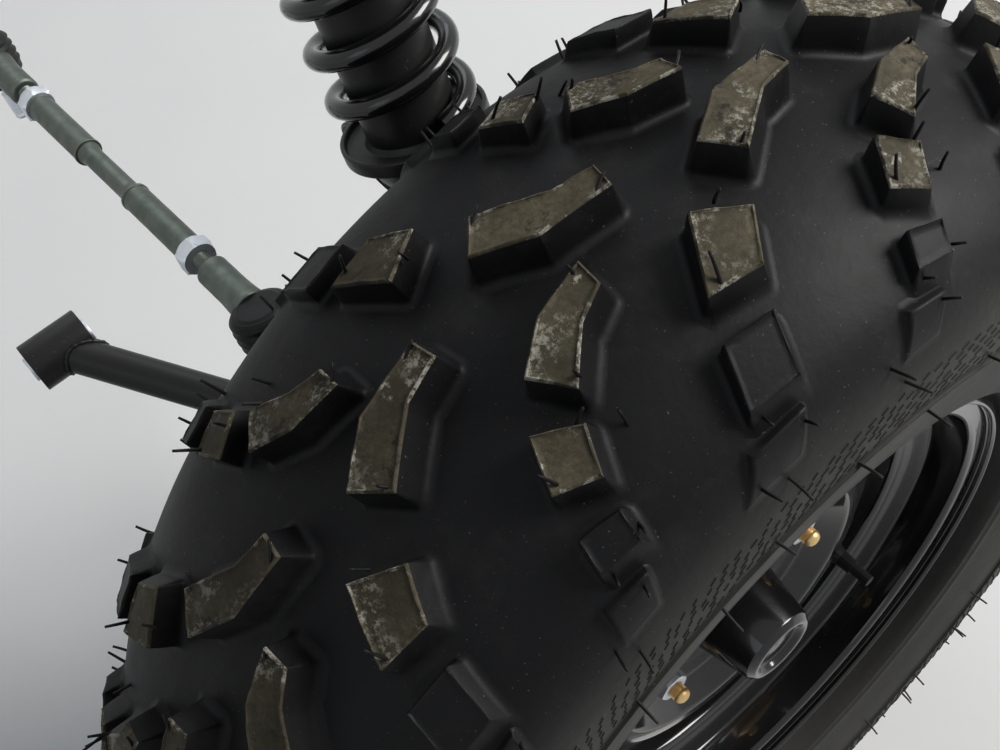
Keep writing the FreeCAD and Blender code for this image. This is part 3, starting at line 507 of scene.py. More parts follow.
# Outer half of the casing, (y, radius), from the ledge beside the rim's flange to the crown
CASING = ((-79.0, 168.5), (-86.0, 171.0), (-92.0, 173.5), (-95.5, 178.5), (-98.5, 190.0), (-101.8, 205.0),
          (-104.3, 222.0), (-105.0, 237.0), (-103.6, 252.0), (-99.0, 266.0), (-90.0, 278.0), (-77.0, 287.6),
          (-62.0, 295.0), (-44.0, 300.6), (-24.0, 304.2), (0.0, 305.5))
CASING_STEP = 3.0
CASING_SIDES = 300
HALF = through(CASING, CASING_STEP)
# The points of that half on the tread side, on the lower side and round the shoulder
UPPER = [point for point in HALF if point[1] > 237.0]
LOWER = [point for point in HALF if point[1] <= 252.0]
SHOULDER = [point for point in HALF if 178.0 < point[1] < 288.0]

# Bead seat beside the rim, and the casing's hollow inside from bead to bead, (y, radius)
BEAD = [(-76.2, 152.3), (-76.25, 160.0), (-77.0, 166.0)]
HOLLOW = [(56.2, 152.3), (56.2, 158.0), (66.0, 160.0), (88.0, 190.0), (95.0, 235.0), (82.0, 274.0),
          (45.0, 289.0), (0.0, 292.0), (-45.0, 289.0), (-82.0, 274.0), (-95.0, 235.0), (-88.0, 190.0),
          (-66.0, 160.0), (-56.2, 158.0), (-56.2, 152.3)]
# Fine rings on the sidewall: radius, width and height outward
RINGS = ((222.0, 0.8, -1.6), (219.6, 1.0, 0.4), (181.0, 1.2, 0.5), (176.0, 1.0, -0.5))
PARTING_HIGH = 0.7

# Tops of the lugs: degrees from the front upward and y, for the first pitch of the outer half
LUGS = (
    ("tread", ((71.1, 0.9), (71.4, -9.3), (68.4, -12.9), (64.0, -29.0), (62.0, -15.9), (65.8, -2.5))),
    ("tread", ((57.9, -34.1), (61.3, -45.5), (59.1, -60.9), (55.0, -57.7))),
    ("side", ((53.6, -70.5), (57.7, -72.3), (56.3, -90.1), (52.0, -88.9))),
    ("tread", ((81.1, -22.0), (81.0, -32.3), (78.6, -37.3), (75.6, -50.3), (73.9, -36.8), (77.0, -26.1))),
    ("tread", ((71.6, -49.5), (74.4, -58.9), (72.8, -72.3), (69.9, -65.6))),
    ("side", ((68.9, -78.6), (72.1, -81.4), (71.5, -90.6), (68.1, -89.2))),
)
LUG_LIFT = {"tread": 1.0, "side": 0.95}
# Millimetres of arc in a degree at the lugs
LUG_ARC = math.radians(1.0) * 310.0
SAMPLE_STEP = 4.5
FILLET = 3.6
FILLET_STEPS = 6
# Rings of a lug's top: share of the way to its centre, mm outward, share of the lug's height and mm above it
LUG_TOP = [(share, 0.0, 1.0, 0.0) for share in (0.84, 0.68, 0.52, 0.36, 0.22)]
LUG_TOP += [(0.0, -2.4, 1.0, 0.0), (0.0, -1.0, 1.0, 0.1), (0.0, -0.6, 1.0, 0.7), (0.0, -0.1, 1.0, 0.5),
            (0.0, 0.25, 1.0, -0.5)]
# Heights of the ragged flash line, and the rings up to the end of the top's and the edge's material
FLASH = (0.7, 0.5)
TOP_RINGS = 6
EDGE_RINGS = 9

# Pads below the lugs, on the shoulder: degrees from the front upward and radius of their corners
PADS = (((50.5, 275.0), (55.6, 275.0), (53.8, 262.0), (48.2, 262.0)),
        ((66.4, 275.5), (70.2, 274.5), (68.9, 262.5), (65.1, 262.0)))
PAD_HIGH = 4.0
PAD_LOW = 0.7
PAD_ARC = math.radians(1.0) * 268.0
# Rings of a pad, as for a lug
PAD_RINGS = ((0.6, 0.0, 1.0, 0.0), (0.25, 0.0, 1.0, 0.0), (0.0, -1.6, 1.0, 0.0), (0.0, -0.7, 1.0, 0.1),
             (0.0, -0.2, 1.0, -0.1), (0.0, 0.2, 0.85, -0.2), (0.0, 0.6, 0.45, 0.0), (0.0, 1.2, 0.15, 0.0),
             (0.0, 2.4, 0.02, 0.0), (0.0, 3.4, 0.0, -0.15))


def casing_r(y):
    """Radius of the casing's tread side at a place across it."""
    return float(np.interp(-abs(y), [point[0] for point in UPPER], [point[1] for point in UPPER]))


def tip_r(y):
    """Radius of the lugs' tips at a place across the tread."""
    share = y / SIDE_HALF
    return TYRE_R - CROWN_DROP * share ** 2 - EDGE_DROP * share ** 4


def outline_samples(corners):
    """Samples round a top: point, way out for what lies outside, way out for what lies inside."""
    pts = np.array(corners)
    n = len(pts)
    area = 0.5 * sum(pts[i - 1][0] * pts[i][1] - pts[i][0] * pts[i - 1][1] for i in range(n))
    if area < 0:
        pts = pts[::-1]
    samples = []
    for i in range(n):
        here = pts[i]
        after = pts[(i + 1) % n]
        d0 = unit(here - pts[i - 1])
        d1 = unit(after - here)
        n0 = np.array((d0[1], -d0[0]))
        n1 = np.array((d1[1], -d1[0]))
        mid = n0 + n1
        mid = mid / (mid @ mid) * 2.0
        if d0[0] * d1[1] - d0[1] * d1[0] > 0:
            for t in (0.0, 1.0 / 3.0, 2.0 / 3.0, 1.0):
                samples.append((here, unit(n0 * (1 - t) + n1 * t), mid))
        else:
            samples.append((here, mid * 0.9, mid))
        count = max(1, int(np.linalg.norm(after - here) / SAMPLE_STEP))
        for k in range(1, count + 1):
            samples.append((here + (after - here) * (k / (count + 1)), n1, n1))
    return samples


def raise_top(samples, rings, place, mirrored, ring_mat, verts, faces, mats, wobble=0.0):
    """Adds a top and its sides as rings round a centre; place gives points, ring_mat gives materials."""
    centre = np.mean([sample[0] for sample in samples], axis=0)
    count = len(samples)
    start = len(verts)
    verts.append(place(centre[0], centre[1], 1.0, 0.0, centre[1]))
    for inset, outward, share, mm in rings:
        for i, (point, outside, inside) in enumerate(samples):
            p = point + (outside if outward > 0.0 else inside) * outward
            p = p + (centre - p) * inset
            ragged = 0.25 * math.sin(i * 1.9 + wobble) if mm in FLASH else 0.0
            verts.append(place(p[0], p[1], share, mm + ragged, point[1] if inset == 0.0 else p[1]))
    for i in range(count):
        tri = (start, start + 1 + i, start + 1 + (i + 1) % count)
        faces.append(tri[::-1] if mirrored else tri)
        mats.append(ring_mat(0))
    for k in range(len(rings) - 1):
        a = start + 1 + k * count
        b = a + count
        for i in range(count):
            j = (i + 1) % count
            quad = (a + i, b + i, b + j, a + j)
            faces.append(quad[::-1] if mirrored else quad)
            mats.append(ring_mat(k))


def lug_rings(height):
    """Rings from a lug's centre over its edge and drafted side to the fillet's foot."""
    foot = max(0.2 * (height - FILLET), 0.6)
    rings = LUG_TOP + [(0.0, 0.25 + foot * 0.5, 0.5 + 0.5 * FILLET / height, 0.0)]
    for k in range(FILLET_STEPS):
        a = math.pi / 2.0 * k / (FILLET_STEPS - 1)
        rings.append((0.0, 0.25 + foot + FILLET * (1 - math.cos(a)), 0.0, FILLET * (1 - math.sin(a))))
    return rings + [(0.0, foot + FILLET + 2.5, 0.0, -0.12)]


def lug_mesh(kind, corners, turn, mirrored, verts, faces, mats):
    """One lug: dusty top with a flash line round it, drafted sides and a fillet into the casing."""
    samples = outline_samples([(a * LUG_ARC, y) for a, y in corners])
    lift = LUG_LIFT[kind]

    def tall(y):
        return (tip_r(y) - casing_r(y)) * lift

    def place(x, y, share, mm, edge_y):
        if mirrored:
            y = 2.0 * TREAD_MIDDLE - y
            edge_y = 2.0 * TREAD_MIDDLE - edge_y
        if share < 1.0:
            r = casing_r(y) + tall(edge_y) * share + mm
        elif 0.0 <= mm <= 0.2:
            r = casing_r(y) + tall(y) + mm
        else:
            r = casing_r(edge_y) + tall(edge_y) + mm
        return turn_point(x / LUG_ARC + turn, y, r)

    def ring_mat(k):
        if kind == "side" or k >= EDGE_RINGS:
            return 0
        return 1 if k < TOP_RINGS else 2

    rings = lug_rings(np.mean([tall(sample[0][1]) for sample in samples]))
    raise_top(samples, rings, place, mirrored, ring_mat, verts, faces, mats, RNG.uniform(0.0, 6.28))


def side_y(r, rows):
    """Outer side of the casing at a radius, from some of its points."""
    return float(np.interp(r, [point[1] for point in rows], [point[0] for point in rows]))


def side_place(r, out):
    """Point (y, radius) at a height over the casing's side, from the radius along it."""
    slope = unit((side_y(r + 1.0, SHOULDER) - side_y(r - 1.0, SHOULDER), 2.0))
    return side_y(r, SHOULDER) - slope[1] * out, r + slope[0] * out


def pad_mesh(corners, turn, mirrored, verts, faces, mats):
    """One low pad on the shoulder: proud at its tread side and nearly flush towards the bead."""
    top_r = max(r for _, r in corners)
    low_r = min(r for _, r in corners)

    def place(x, r, share, mm, _):
        run = min(1.0, max(0.0, (r - low_r) / (top_r - low_r)))
        y, rr = side_place(r, (PAD_LOW + (PAD_HIGH - PAD_LOW) * run) * share + mm)
        return turn_point(x / PAD_ARC + turn, -y if mirrored else y, rr)

    samples = outline_samples([(a * PAD_ARC, r) for a, r in corners])
    raise_top(samples, PAD_RINGS, place, mirrored, lambda k: 0, verts, faces, mats)


def on_side(y, r):
    """Whether a point lies on the outer side of the casing."""
    return abs(y) > 76.0 and 165.0 < r < 270.0


def casing_outline():
    """Closed outline of the casing, finer on its sides and finest at the groove."""
    outer = BEAD + HALF
    line = outer + [(-y, r) for y, r in reversed(outer[:-1])] + HOLLOW
    fine = []
    for (y, r), (y2, r2) in zip(line, line[1:] + line[:1]):
        steps = 1
        if on_side(y, r) and math.hypot(y2 - y, r2 - r) > 1.5:
            steps = 8 if 215.0 < r < 226.0 else 2
        fine += [(y + (y2 - y) * (k / steps), r + (r2 - r) * (k / steps)) for k in range(steps)]
    return fine


def relief(r):
    """Height of the fine rings on the sidewall, outward."""
    return sum(tall * math.exp(-((r - ring_r) / width) ** 2) for ring_r, width, tall in RINGS)


def make_casing(mat):
    """Casing from bead to bead, with the rings of its sides and the parting line of the tread."""
    shaped = []
    for y, r in casing_outline():
        out = relief(r) if on_side(y, r) else 0.0
        parting = PARTING_HIGH * math.exp(-((y - TREAD_MIDDLE) / 0.8) ** 2) if r > 296.0 else 0.0
        shaped.append((y + math.copysign(out, y), r + parting))
    verts, faces = spun(shaped, CASING_SIDES)
    add_piece("tyre_casing", verts, faces, [mat], "wheel", ("tyre",), "tyre")


def make_lugs(mats):
    """All lugs, the inner half's turned on by half a pitch."""
    for half, mirrored in (("outer", False), ("inner", True)):
        verts, faces, face_mats = [], [], []
        for k in range(PITCHES):
            turn = PITCH * (k + (0.5 if mirrored else 0.0))
            for kind, corners in LUGS:
                lug_mesh(kind, corners, turn, mirrored, verts, faces, face_mats)
        add_piece("tyre_lugs_" + half, verts, faces, mats, "wheel", ("tyre",), "tyre", face_mats, sharp=50.0)


def make_pads(mat):
    """The low pads of both shoulders."""
    verts, faces, face_mats = [], [], []
    for k in range(PITCHES):
        for corners in PADS:
            pad_mesh(corners, PITCH * k, False, verts, faces, face_mats)
            pad_mesh(corners, PITCH * (k + 0.5), True, verts, faces, face_mats)
    add_piece("tyre_pads", verts, faces, [mat], "wheel", ("tyre",), "tyre", face_mats, sharp=50.0)


# Vent hairs of one pitch: degrees, y, and whether they stand on the casing and not on a lug
HAIRS = ((70.3, -1.0, False), (64.2, -26.0, False), (56.2, -57.0, False), (59.5, -36.5, False),
         (80.6, -24.0, False), (76.0, -48.0, False), (70.8, -64.5, False), (73.7, -57.0, False),
         (76.5, -64.0, True))
# The same on shoulder and side: degrees and radius
SIDE_HAIRS = ((53.0, 281.0), (55.0, 272.0), (49.5, 264.5), (52.0, 257.5), (68.5, 280.5), (69.5, 273.0),
              (72.0, 283.0), (64.0, 263.0), (65.0, 253.0), (60.0, 223.5), (49.5, 226.5), (71.5, 214.0))
HAIR_ROWS = 4
HAIR_SIDES = 5
HAIR_THICK = 0.68


def hair(verts, faces, root, way, long, bend):
    """One vent hair: a thin bent rubber pin, rooted 1 mm deep."""
    way = unit(way)
    side = unit(np.cross(way, (0.3, 0.5, 0.8)))
    other = np.cross(way, side)
    ring_quads(len(verts), HAIR_ROWS + 1, HAIR_SIDES, faces, closed=False)
    for k in range(HAIR_ROWS + 1):
        t = k / HAIR_ROWS
        centre = np.array(root) + way * (long * t - 1.0) + side * (bend * t * t)
        verts += circle(centre, side, other, HAIR_THICK * (1.15 - 0.3 * t), HAIR_SIDES)
    faces.append(tuple(range(len(verts) - HAIR_SIDES, len(verts))))


def tread_hair(verts, faces, turn, y, low):
    """A hair on a lug's tip or on the casing; near the crown it leans far over, to keep the tyre's size."""
    angle = turn + RNG.uniform(-0.4, 0.4)
    root = turn_point(angle, y, (casing_r(y) if low else tip_r(y)) - 0.2)
    tilt = np.array([RNG.uniform(-0.4, 0.4) for _ in range(3)])
    room = 9.0 if low else 2.0 + 1.2 * max(0.0, TYRE_R - tip_r(y))
    long = min(RNG.uniform(8.0, 14.0), room)
    if long < 4.0:
        tilt = tilt + np.array(turn_point(angle + 90.0, 0.0, 2.5)) + np.array((0.0, 1.5, 0.0))
        long = RNG.uniform(6.0, 9.0)
    hair(verts, faces, root, np.array(turn_point(angle, 0.0, 1.0)) + tilt, long, RNG.uniform(-2.0, 2.0))


def side_hair(verts, faces, turn, r, outward):
    """A hair on the shoulder, leaning with it, or on the side, straight out."""
    y, rr = side_place(r, 0.0)
    angle = turn + RNG.uniform(-0.4, 0.4)
    root = turn_point(angle, y * -outward, rr)
    lean, out = (0.1, 1.0) if r < 262.0 else (0.5, 0.8)
    way = np.array(turn_point(angle, 0.0, lean)) + np.array((0.0, outward * out, 0.0))
    way = way + np.array((RNG.uniform(-0.2, 0.2), 0.0, RNG.uniform(-0.2, 0.2)))
    long = RNG.uniform(9.5, 12.5)
    hair(verts, faces, root, way, long, RNG.uniform(-1.5, 1.5))


def make_hairs(mat):
    """Vent hairs that the mould left on lugs and sidewalls."""
    verts, faces = [], []
    for k in range(PITCHES):
        for mirrored in (False, True):
            shift = PITCH * (k + (0.5 if mirrored else 0.0))
            for turn, y, low in HAIRS:
                tread_hair(verts, faces, turn + shift, 2.0 * TREAD_MIDDLE - y if mirrored else y, low)
            for turn, r in SIDE_HAIRS:
                side_hair(verts, faces, turn + shift, r, 1.0 if mirrored else -1.0)
    add_piece("tyre_hairs", verts, faces, [mat], "wheel", ("tyre",), "tyre")


RIB_ROWS = (226.6, 229.9, 233.2, 236.5, 239.8, 243.1, 246.4)
RIB_COUNT = 210
RIB_HIGH = 0.42
RIB_SUNK = -0.3
RIB_HALF = 0.6


def rib_mesh(turn, r, long, way, verts, faces):
    """One slanted rib, a ridge with sunk edges and ends."""
    start = len(verts)
    for end in (-1.0, -0.7, 0.7, 1.0):
        tall = RIB_HIGH if abs(end) < 0.9 else RIB_SUNK
        for across, rise in ((-RIB_HALF, RIB_SUNK), (0.0, tall), (RIB_HALF, RIB_SUNK)):
            rr = r + end + across
            verts.append(turn_point(turn + long * end - across * 0.12, (side_y(rr, LOWER) - rise) * way, rr))
    for step in range(3):
        a = start + 3 * step
        for quad in ((a, a + 3, a + 4, a + 1), (a + 1, a + 4, a + 5, a + 2)):
            faces.append(quad if way > 0.0 else quad[::-1])


def make_side_ribs(mat):
    """Band of short slanted ribs on both sidewalls, as a plain grip pattern with gaps."""
    verts, faces = [], []
    for row, r in enumerate(RIB_ROWS):
        for k in range(RIB_COUNT):
            turn = 360.0 * (k + 0.37 * row) / RIB_COUNT + RNG.uniform(-0.3, 0.3)
            long = 0.52 + RNG.uniform(-0.14, 0.14)
            if (k * 7 + row * 3) % 11:
                rib_mesh(turn, r, long, 1.0, verts, faces)
                rib_mesh(turn, r, long, -1.0, verts, faces)
    add_piece("tyre_side_ribs", verts, faces, [mat], "wheel", ("tyre",), "tyre", smooth=False)


# Rim, cap and wheel fixings

# Closed outline of the rim: its outer face from flange to flange, then its inner face with the disc
RIM = ((-85.2, 161.7), (-82.7, 165.7), (-78.2, 165.7), (-76.2, 161.7), (-76.2, 152.1), (-56.2, 152.1),
       (-48.2, 134.0), (48.2, 134.0), (56.2, 152.1), (76.2, 152.1), (76.2, 161.7), (78.2, 165.7),
       (82.7, 165.7), (85.2, 161.7), (82.6, 160.0), (80.6, 162.0), (79.4, 161.0), (79.2, 149.1),
       (54.3, 149.1), (46.2, 131.0), (-15.5, 131.0), (-15.5, 126.5), (-28.0, 126.5), (-38.0, 113.0),
       (-38.0, 99.0), (-46.5, 94.0), (-46.5, 84.0), (-33.0, 74.0), (-33.0, 36.0), (-37.5, 36.0),
       (-37.5, 74.0), (-51.5, 84.0), (-51.5, 94.0), (-42.5, 99.0), (-42.5, 113.0), (-29.5, 131.0),
       (-46.2, 131.0), (-54.3, 149.1), (-79.2, 149.1), (-79.4, 161.0), (-80.6, 162.0), (-82.6, 160.0))
CAP = ((-37.5, 39.0), (-40.5, 39.0), (-40.5, 30.0), (-77.5, 23.0), (-80.5, 20.0), (-80.5, 17.0),
       (-76.5, 15.0), (-76.5, 0.01), (-74.0, 0.01), (-74.0, 20.5), (-37.5, 27.5))
RIM_SIDES = 256
CAP_SIDES = 160
STUD_TURNS = (63.0, 153.0, 243.0, 333.0)
STUD_CIRCLE = 55.0
STUD_SIDES = 24
NUT_FLAT = 8.5
# Rows of a wheel nut: y and the radius that its corners are cut to
NUT_ROWS = ((-37.5, 9.6), (-38.5, 9.6), (-48.2, 9.6), (-50.0, 9.1), (-50.5, 8.0), (-50.5, 5.1))
# Outline of a stud, (y, radius): its shank, its thread and its tip
STUD = [(-24.0, 4.9)] + [(-50.0 - 0.4 * k, 4.4 if k % 2 else 4.9) for k in range(13)]
STUD += [(-55.6, 4.95), (-56.8, 4.6), (-57.9, 3.8), (-58.6, 2.6), (-58.95, 1.3), (-59.0, 0.01)]


def make_rim(mat):
    """Rim with its rolled flanges and pressed disc, and the hub cap with a rounded lip, in smooth curves."""
    verts, faces = spun(rounded(RIM, 4.0, 4), RIM_SIDES)
    add_piece("rim_smooth", verts, faces, [mat], "wheel", ("rim",), "black_gloss", sharp=60.0)
    verts, faces = spun(rounded(CAP, 2.2, 5), CAP_SIDES)
    add_piece("hub_cap_smooth", verts, faces, [mat], "wheel", ("hub_cap",), "black_gloss", sharp=60.0)


def nut_mesh(centre, spin):
    """Points and quads of a wheel nut with chamfered corners."""
    verts, faces = [], []
    side = np.array((math.cos(spin), 0.0, math.sin(spin)))
    other = np.array((-math.sin(spin), 0.0, math.cos(spin)))
    hex_rings(np.array(centre), (np.array((0.0, 1.0, 0.0)), side, other), NUT_FLAT, NUT_ROWS, verts)
    ring_quads(0, len(NUT_ROWS), HEX_SIDES, faces, closed=False)
    return verts, faces


def stud_mesh(centre):
    """Points and quads of a stud's threaded and rounded end."""
    verts, faces = [], []
    n = len(STUD)
    for k in range(STUD_SIDES):
        angle = ROUND * k / STUD_SIDES
        verts += [(centre[0] + r * math.cos(angle), y, centre[2] + r * math.sin(angle)) for y, r in STUD]
        a = k * n
        b = ((k + 1) % STUD_SIDES) * n
        faces += [(a + i, a + i + 1, b + i + 1, b + i) for i in range(n - 1)]
    return verts, faces


def make_fixings(zinc, gold):
    """Wheel nuts, each turned its own way, and stud ends."""
    for number, turn in enumerate(STUD_TURNS, 1):
        centre = turn_point(turn, 0.0, STUD_CIRCLE)
        verts, faces = nut_mesh(centre, math.radians(turn * 1.7))
        add_piece("wheel_nut_%d" % number, verts, faces, [zinc], "wheel", ("wheel_nuts",), "zinc",
                  sharp=30.0)
        verts, faces = stud_mesh(centre)
        add_piece("wheel_stud_%d" % number, verts, faces, [gold], "wheel", ("wheel_studs",), "yellow_zinc",
                  sharp=75.0)


# Strut, tie rod and lower arm

LOW_BALL = np.array((-2.0, 90.0, -75.0))
STRUT_WAY = unit((math.tan(math.radians(1.5)), math.tan(math.radians(16.1)), 1.0))
STEER_BALL = np.array((-105.0, 169.5, 159.0))
ROD_WAY = np.array((-math.sin(math.radians(1.5)), math.cos(math.radians(1.5)), 0.0))
ROD_SPAN = 312.0
ROD_END = 71.0
ROD_BEAD_AT = 58.0
JAM_NUT_AT = 62.0
ROD_LONG = ROD_SPAN - 2.0 * ROD_END
ROD_BALLS = ((STEER_BALL, ROD_WAY), (STEER_BALL + ROD_WAY * ROD_SPAN, -ROD_WAY))

SPRING_LOW = 305.3
SPRING_HIGH = 484.9
SPRING_R = 31.0
SPRING_TURNS = 7
SPRING_STEPS = 56
WIRE_R = 5.0
WIRE_SIDES = 18

# Outlines on the strut's axis: height above the lower ball and radius
TUBE = ((66.0, 0.0), (66.0, 24.0), (276.0, 24.0), (275.0, 25.6), (278.5, 26.4), (292.0, 34.5), (292.0, 38.0),
        (300.0, 38.0), (300.0, 35.6), (296.0, 35.4), (296.0, 26.0), (299.0, 24.0), (405.0, 24.0),
        (406.0, 23.3), (408.0, 23.3), (409.0, 24.0), (420.0, 24.0), (420.0, 14.0), (417.0, 13.4),
        (417.0, 8.3), (380.0, 8.3), (380.0, 0.0))
WIPER = ((417.2, 13.2), (420.6, 12.6), (421.6, 9.6), (420.8, 8.35), (417.2, 8.35))
ROD = [(382.0, 0.0), (382.0, 8.0), (518.3, 8.0), (518.3, 5.0), (522.3, 5.0), (522.3, 6.0)]
ROD += thread_rows(523.0, 544.0, 6.0) + [(545.3, 5.2), (545.3, 0.0)]
TOP_SEAT = ((486.0, 36.0), (486.0, 38.0), (494.0, 38.0), (494.0, 8.6), (490.0, 8.6), (490.0, 36.0))
TOP_RUBBER = ((494.3, 8.1), (494.3, 26.5), (499.0, 27.0), (502.0, 24.6), (505.0, 26.9), (508.0, 24.6),
              (511.0, 27.0), (514.2, 26.5), (514.2, 8.1))
TOP_PLATE = ((514.3, 8.1), (514.3, 36.0), (518.3, 36.0), (518.3, 8.1))
# Turned pieces of the strut: name, outline, sides, softening, material, body, nodes, slot, sharp angle
STRUT = (
    ("strut_tube_smooth", TUBE, 96, 1.2, "satin", "knuckle", ("strut_tube",), "black_paint", 40.0),
    ("strut_wiper", WIPER, 64, 0.6, "rubber", "knuckle", (), "rubber", 40.0),
    ("strut_rod_smooth", ROD, 40, 0.0, "chrome", "suspension", ("strut_rod",), "machined_steel", 30.0),
    ("strut_top_seat_smooth", TOP_SEAT, 96, 1.0, "satin", "knuckle", ("strut_top_seat",), "black_paint",
     40.0),
    ("strut_top_rubber_ribbed", TOP_RUBBER, 80, 1.4, "rubber", "suspension", ("strut_top_rubber",), "rubber",
     40.0),
    ("strut_top_plate_smooth", TOP_PLATE, 96, 1.0, "satin", "suspension", ("strut_top_plate",),
     "black_paint", 40.0),
)

# Outlines of the tie rod along its own line, and of its ball joints down the strut's axis
ROD_BAR = ((0.0, 0.0), (0.0, 7.0), (1.2, 8.0), (57.0, 8.0), (58.5, 7.4), (64.0, 6.0), (ROD_LONG - 64.0, 6.0),
           (ROD_LONG - 58.5, 7.4), (ROD_LONG - 57.0, 8.0), (ROD_LONG - 1.2, 8.0), (ROD_LONG, 7.0),
           (ROD_LONG, 0.0))
ROD_BEAD = ((-1.2, 7.2), (-0.9, 8.4), (0.9, 8.4), (1.2, 7.2))
END_NECK = ((13.0, 0.0), (13.0, 10.5), (20.0, 9.6), (30.0, 9.0), (50.5, 9.0), (52.0, 7.8), (52.0, 0.0))
END_THREAD = [(48.0, 0.0)] + thread_rows(51.0, 72.0, 5.0) + [(72.0, 0.0)]
END_HOUSING = ((-10.5, 0.0), (-10.5, 9.0), (-9.6, 10.5), (-10.5, 12.0), (-10.5, 14.0), (-9.5, 15.0),
               (9.5, 15.0), (10.5, 14.0), (10.5, 10.0), (5.6, 9.3), (0.0, 9.3), (-6.5, 9.3), (-9.3, 5.0),
               (-9.3, 0.0))
END_BOOT = ((-11.6, 0.0), (-11.6, 11.5), (-9.6, 15.6), (-7.2, 17.4), (-5.0, 16.2), (-2.6, 17.8),
            (-0.2, 16.3), (2.2, 17.8), (4.6, 16.2), (7.0, 17.4), (9.6, 16.0), (13.0, 15.6), (15.2, 13.4),
            (16.6, 11.2), (18.2, 10.6), (20.1, 8.8), (20.1, 6.4), (15.4, 11.4), (10.8, 13.4), (10.6, 15.1),
            (-10.0, 15.1), (-10.6, 14.0), (-10.6, 0.0))
INNER_STUD = [(-8.9, 0.0), (-8.5, 2.8), (-6.4, 6.4), (-2.8, 8.5), (0.0, 9.0), (2.8, 8.5), (6.0, 6.6),
              (7.0, 6.0), (21.5, 6.0), (21.5, 5.0), (24.5, 5.0), (24.5, 6.0)]
INNER_STUD += thread_rows(26.0, 41.0, 6.0) + [(42.5, 5.2), (42.5, 0.0)]
LOWER_BOOT = ((12.3, 14.4), (12.3, 17.0), (14.4, 17.2), (15.4, 15.4), (16.8, 15.2), (17.8, 12.9),
              (19.4, 12.4), (21.7, 8.8), (21.7, 6.3), (17.0, 10.6), (14.4, 13.6))
# Ball studs: centre, way, ball radius and where the nut sits
BALL_STUDS = ((LOW_BALL, STRUT_WAY, 10.5, 44.0), (STEER_BALL, -STRUT_WAY, 9.0, 34.5))

# Lower arm: half its pivot, where its legs and its cross tube start, and the legs' radii and cut
PIVOT_HALF = 140.0
LEG_START = 42.0
LEG_SPLAY = 16.0
CROSS_START = 150.0
LEG_R = 12.7
LEG_BORE_R = 10.2
LEG_REACH = 17.2
ARM_SIDES = 64
BEAD_SIDES = 8
BUSH_CASE = ((-22.0, 15.1), (-22.0, 18.0), (22.0, 18.0), (22.0, 15.1))
BUSH = ((-22.0, 9.1), (-22.0, 11.0), (-20.6, 12.5), (-22.0, 14.0), (-22.0, 14.9), (22.0, 14.9),
        (22.0, 14.0), (20.6, 12.5), (22.0, 11.0), (22.0, 9.1))
SLEEVE = ((-24.0, 6.1), (-24.0, 9.0), (24.0, 9.0), (24.0, 6.1))
ALONG = (1.0, 0.0, 0.0)


def turned(name, parts, mat, body, nodes, slot, sharp):
    """A piece of turned parts, each a base, a way, an outline, its sides and its softening."""
    verts, faces = [], []
    for base, way, outline, sides, soften in parts:
        lathed(base, way, outline, sides, verts, faces, soften)
    add_piece(name, verts, faces, [mat], body, nodes, slot, sharp=sharp)


def make_spring(mat):
    """Coil spring of round wire."""
    out = unit(np.array((0.0, -1.0, 0.0)) + STRUT_WAY * STRUT_WAY[1])
    side = np.cross(STRUT_WAY, out)
    verts, faces = [], []
    steps = SPRING_TURNS * SPRING_STEPS
    rise = (SPRING_HIGH - SPRING_LOW) / steps
    for k in range(steps + 1):
        a = ROUND * k / SPRING_STEPS
        radial = out * math.cos(a) + side * math.sin(a)
        centre = LOW_BALL + STRUT_WAY * (SPRING_LOW + rise * k) + radial * SPRING_R
        ahead = np.cross(STRUT_WAY, radial) * SPRING_R + STRUT_WAY * (rise * SPRING_STEPS / ROUND)
        wire = WIRE_R if 0 < k < steps else WIRE_R * 0.86
        verts += circle(centre, radial, np.cross(radial, unit(ahead)), wire, WIRE_SIDES)
    ring_quads(0, steps + 1, WIRE_SIDES, faces, closed=False)
    faces.append(tuple(range(WIRE_SIDES))[::-1])
    faces.append(tuple(range(steps * WIRE_SIDES, len(verts))))
    add_piece("spring_round", verts, faces, [mat], "knuckle", ("strut_spring",), "black_gloss", sharp=60.0)


def make_strut(mats):
    """Strut tube with its spring seat, wiper, chromed rod and top mount, all smoothly turned."""
    for name, outline, sides, soften, mat, body, nodes, slot, sharp in STRUT:
        turned(name, [(LOW_BALL, STRUT_WAY, outline, sides, soften)], mats[mat], body, nodes, slot, sharp)


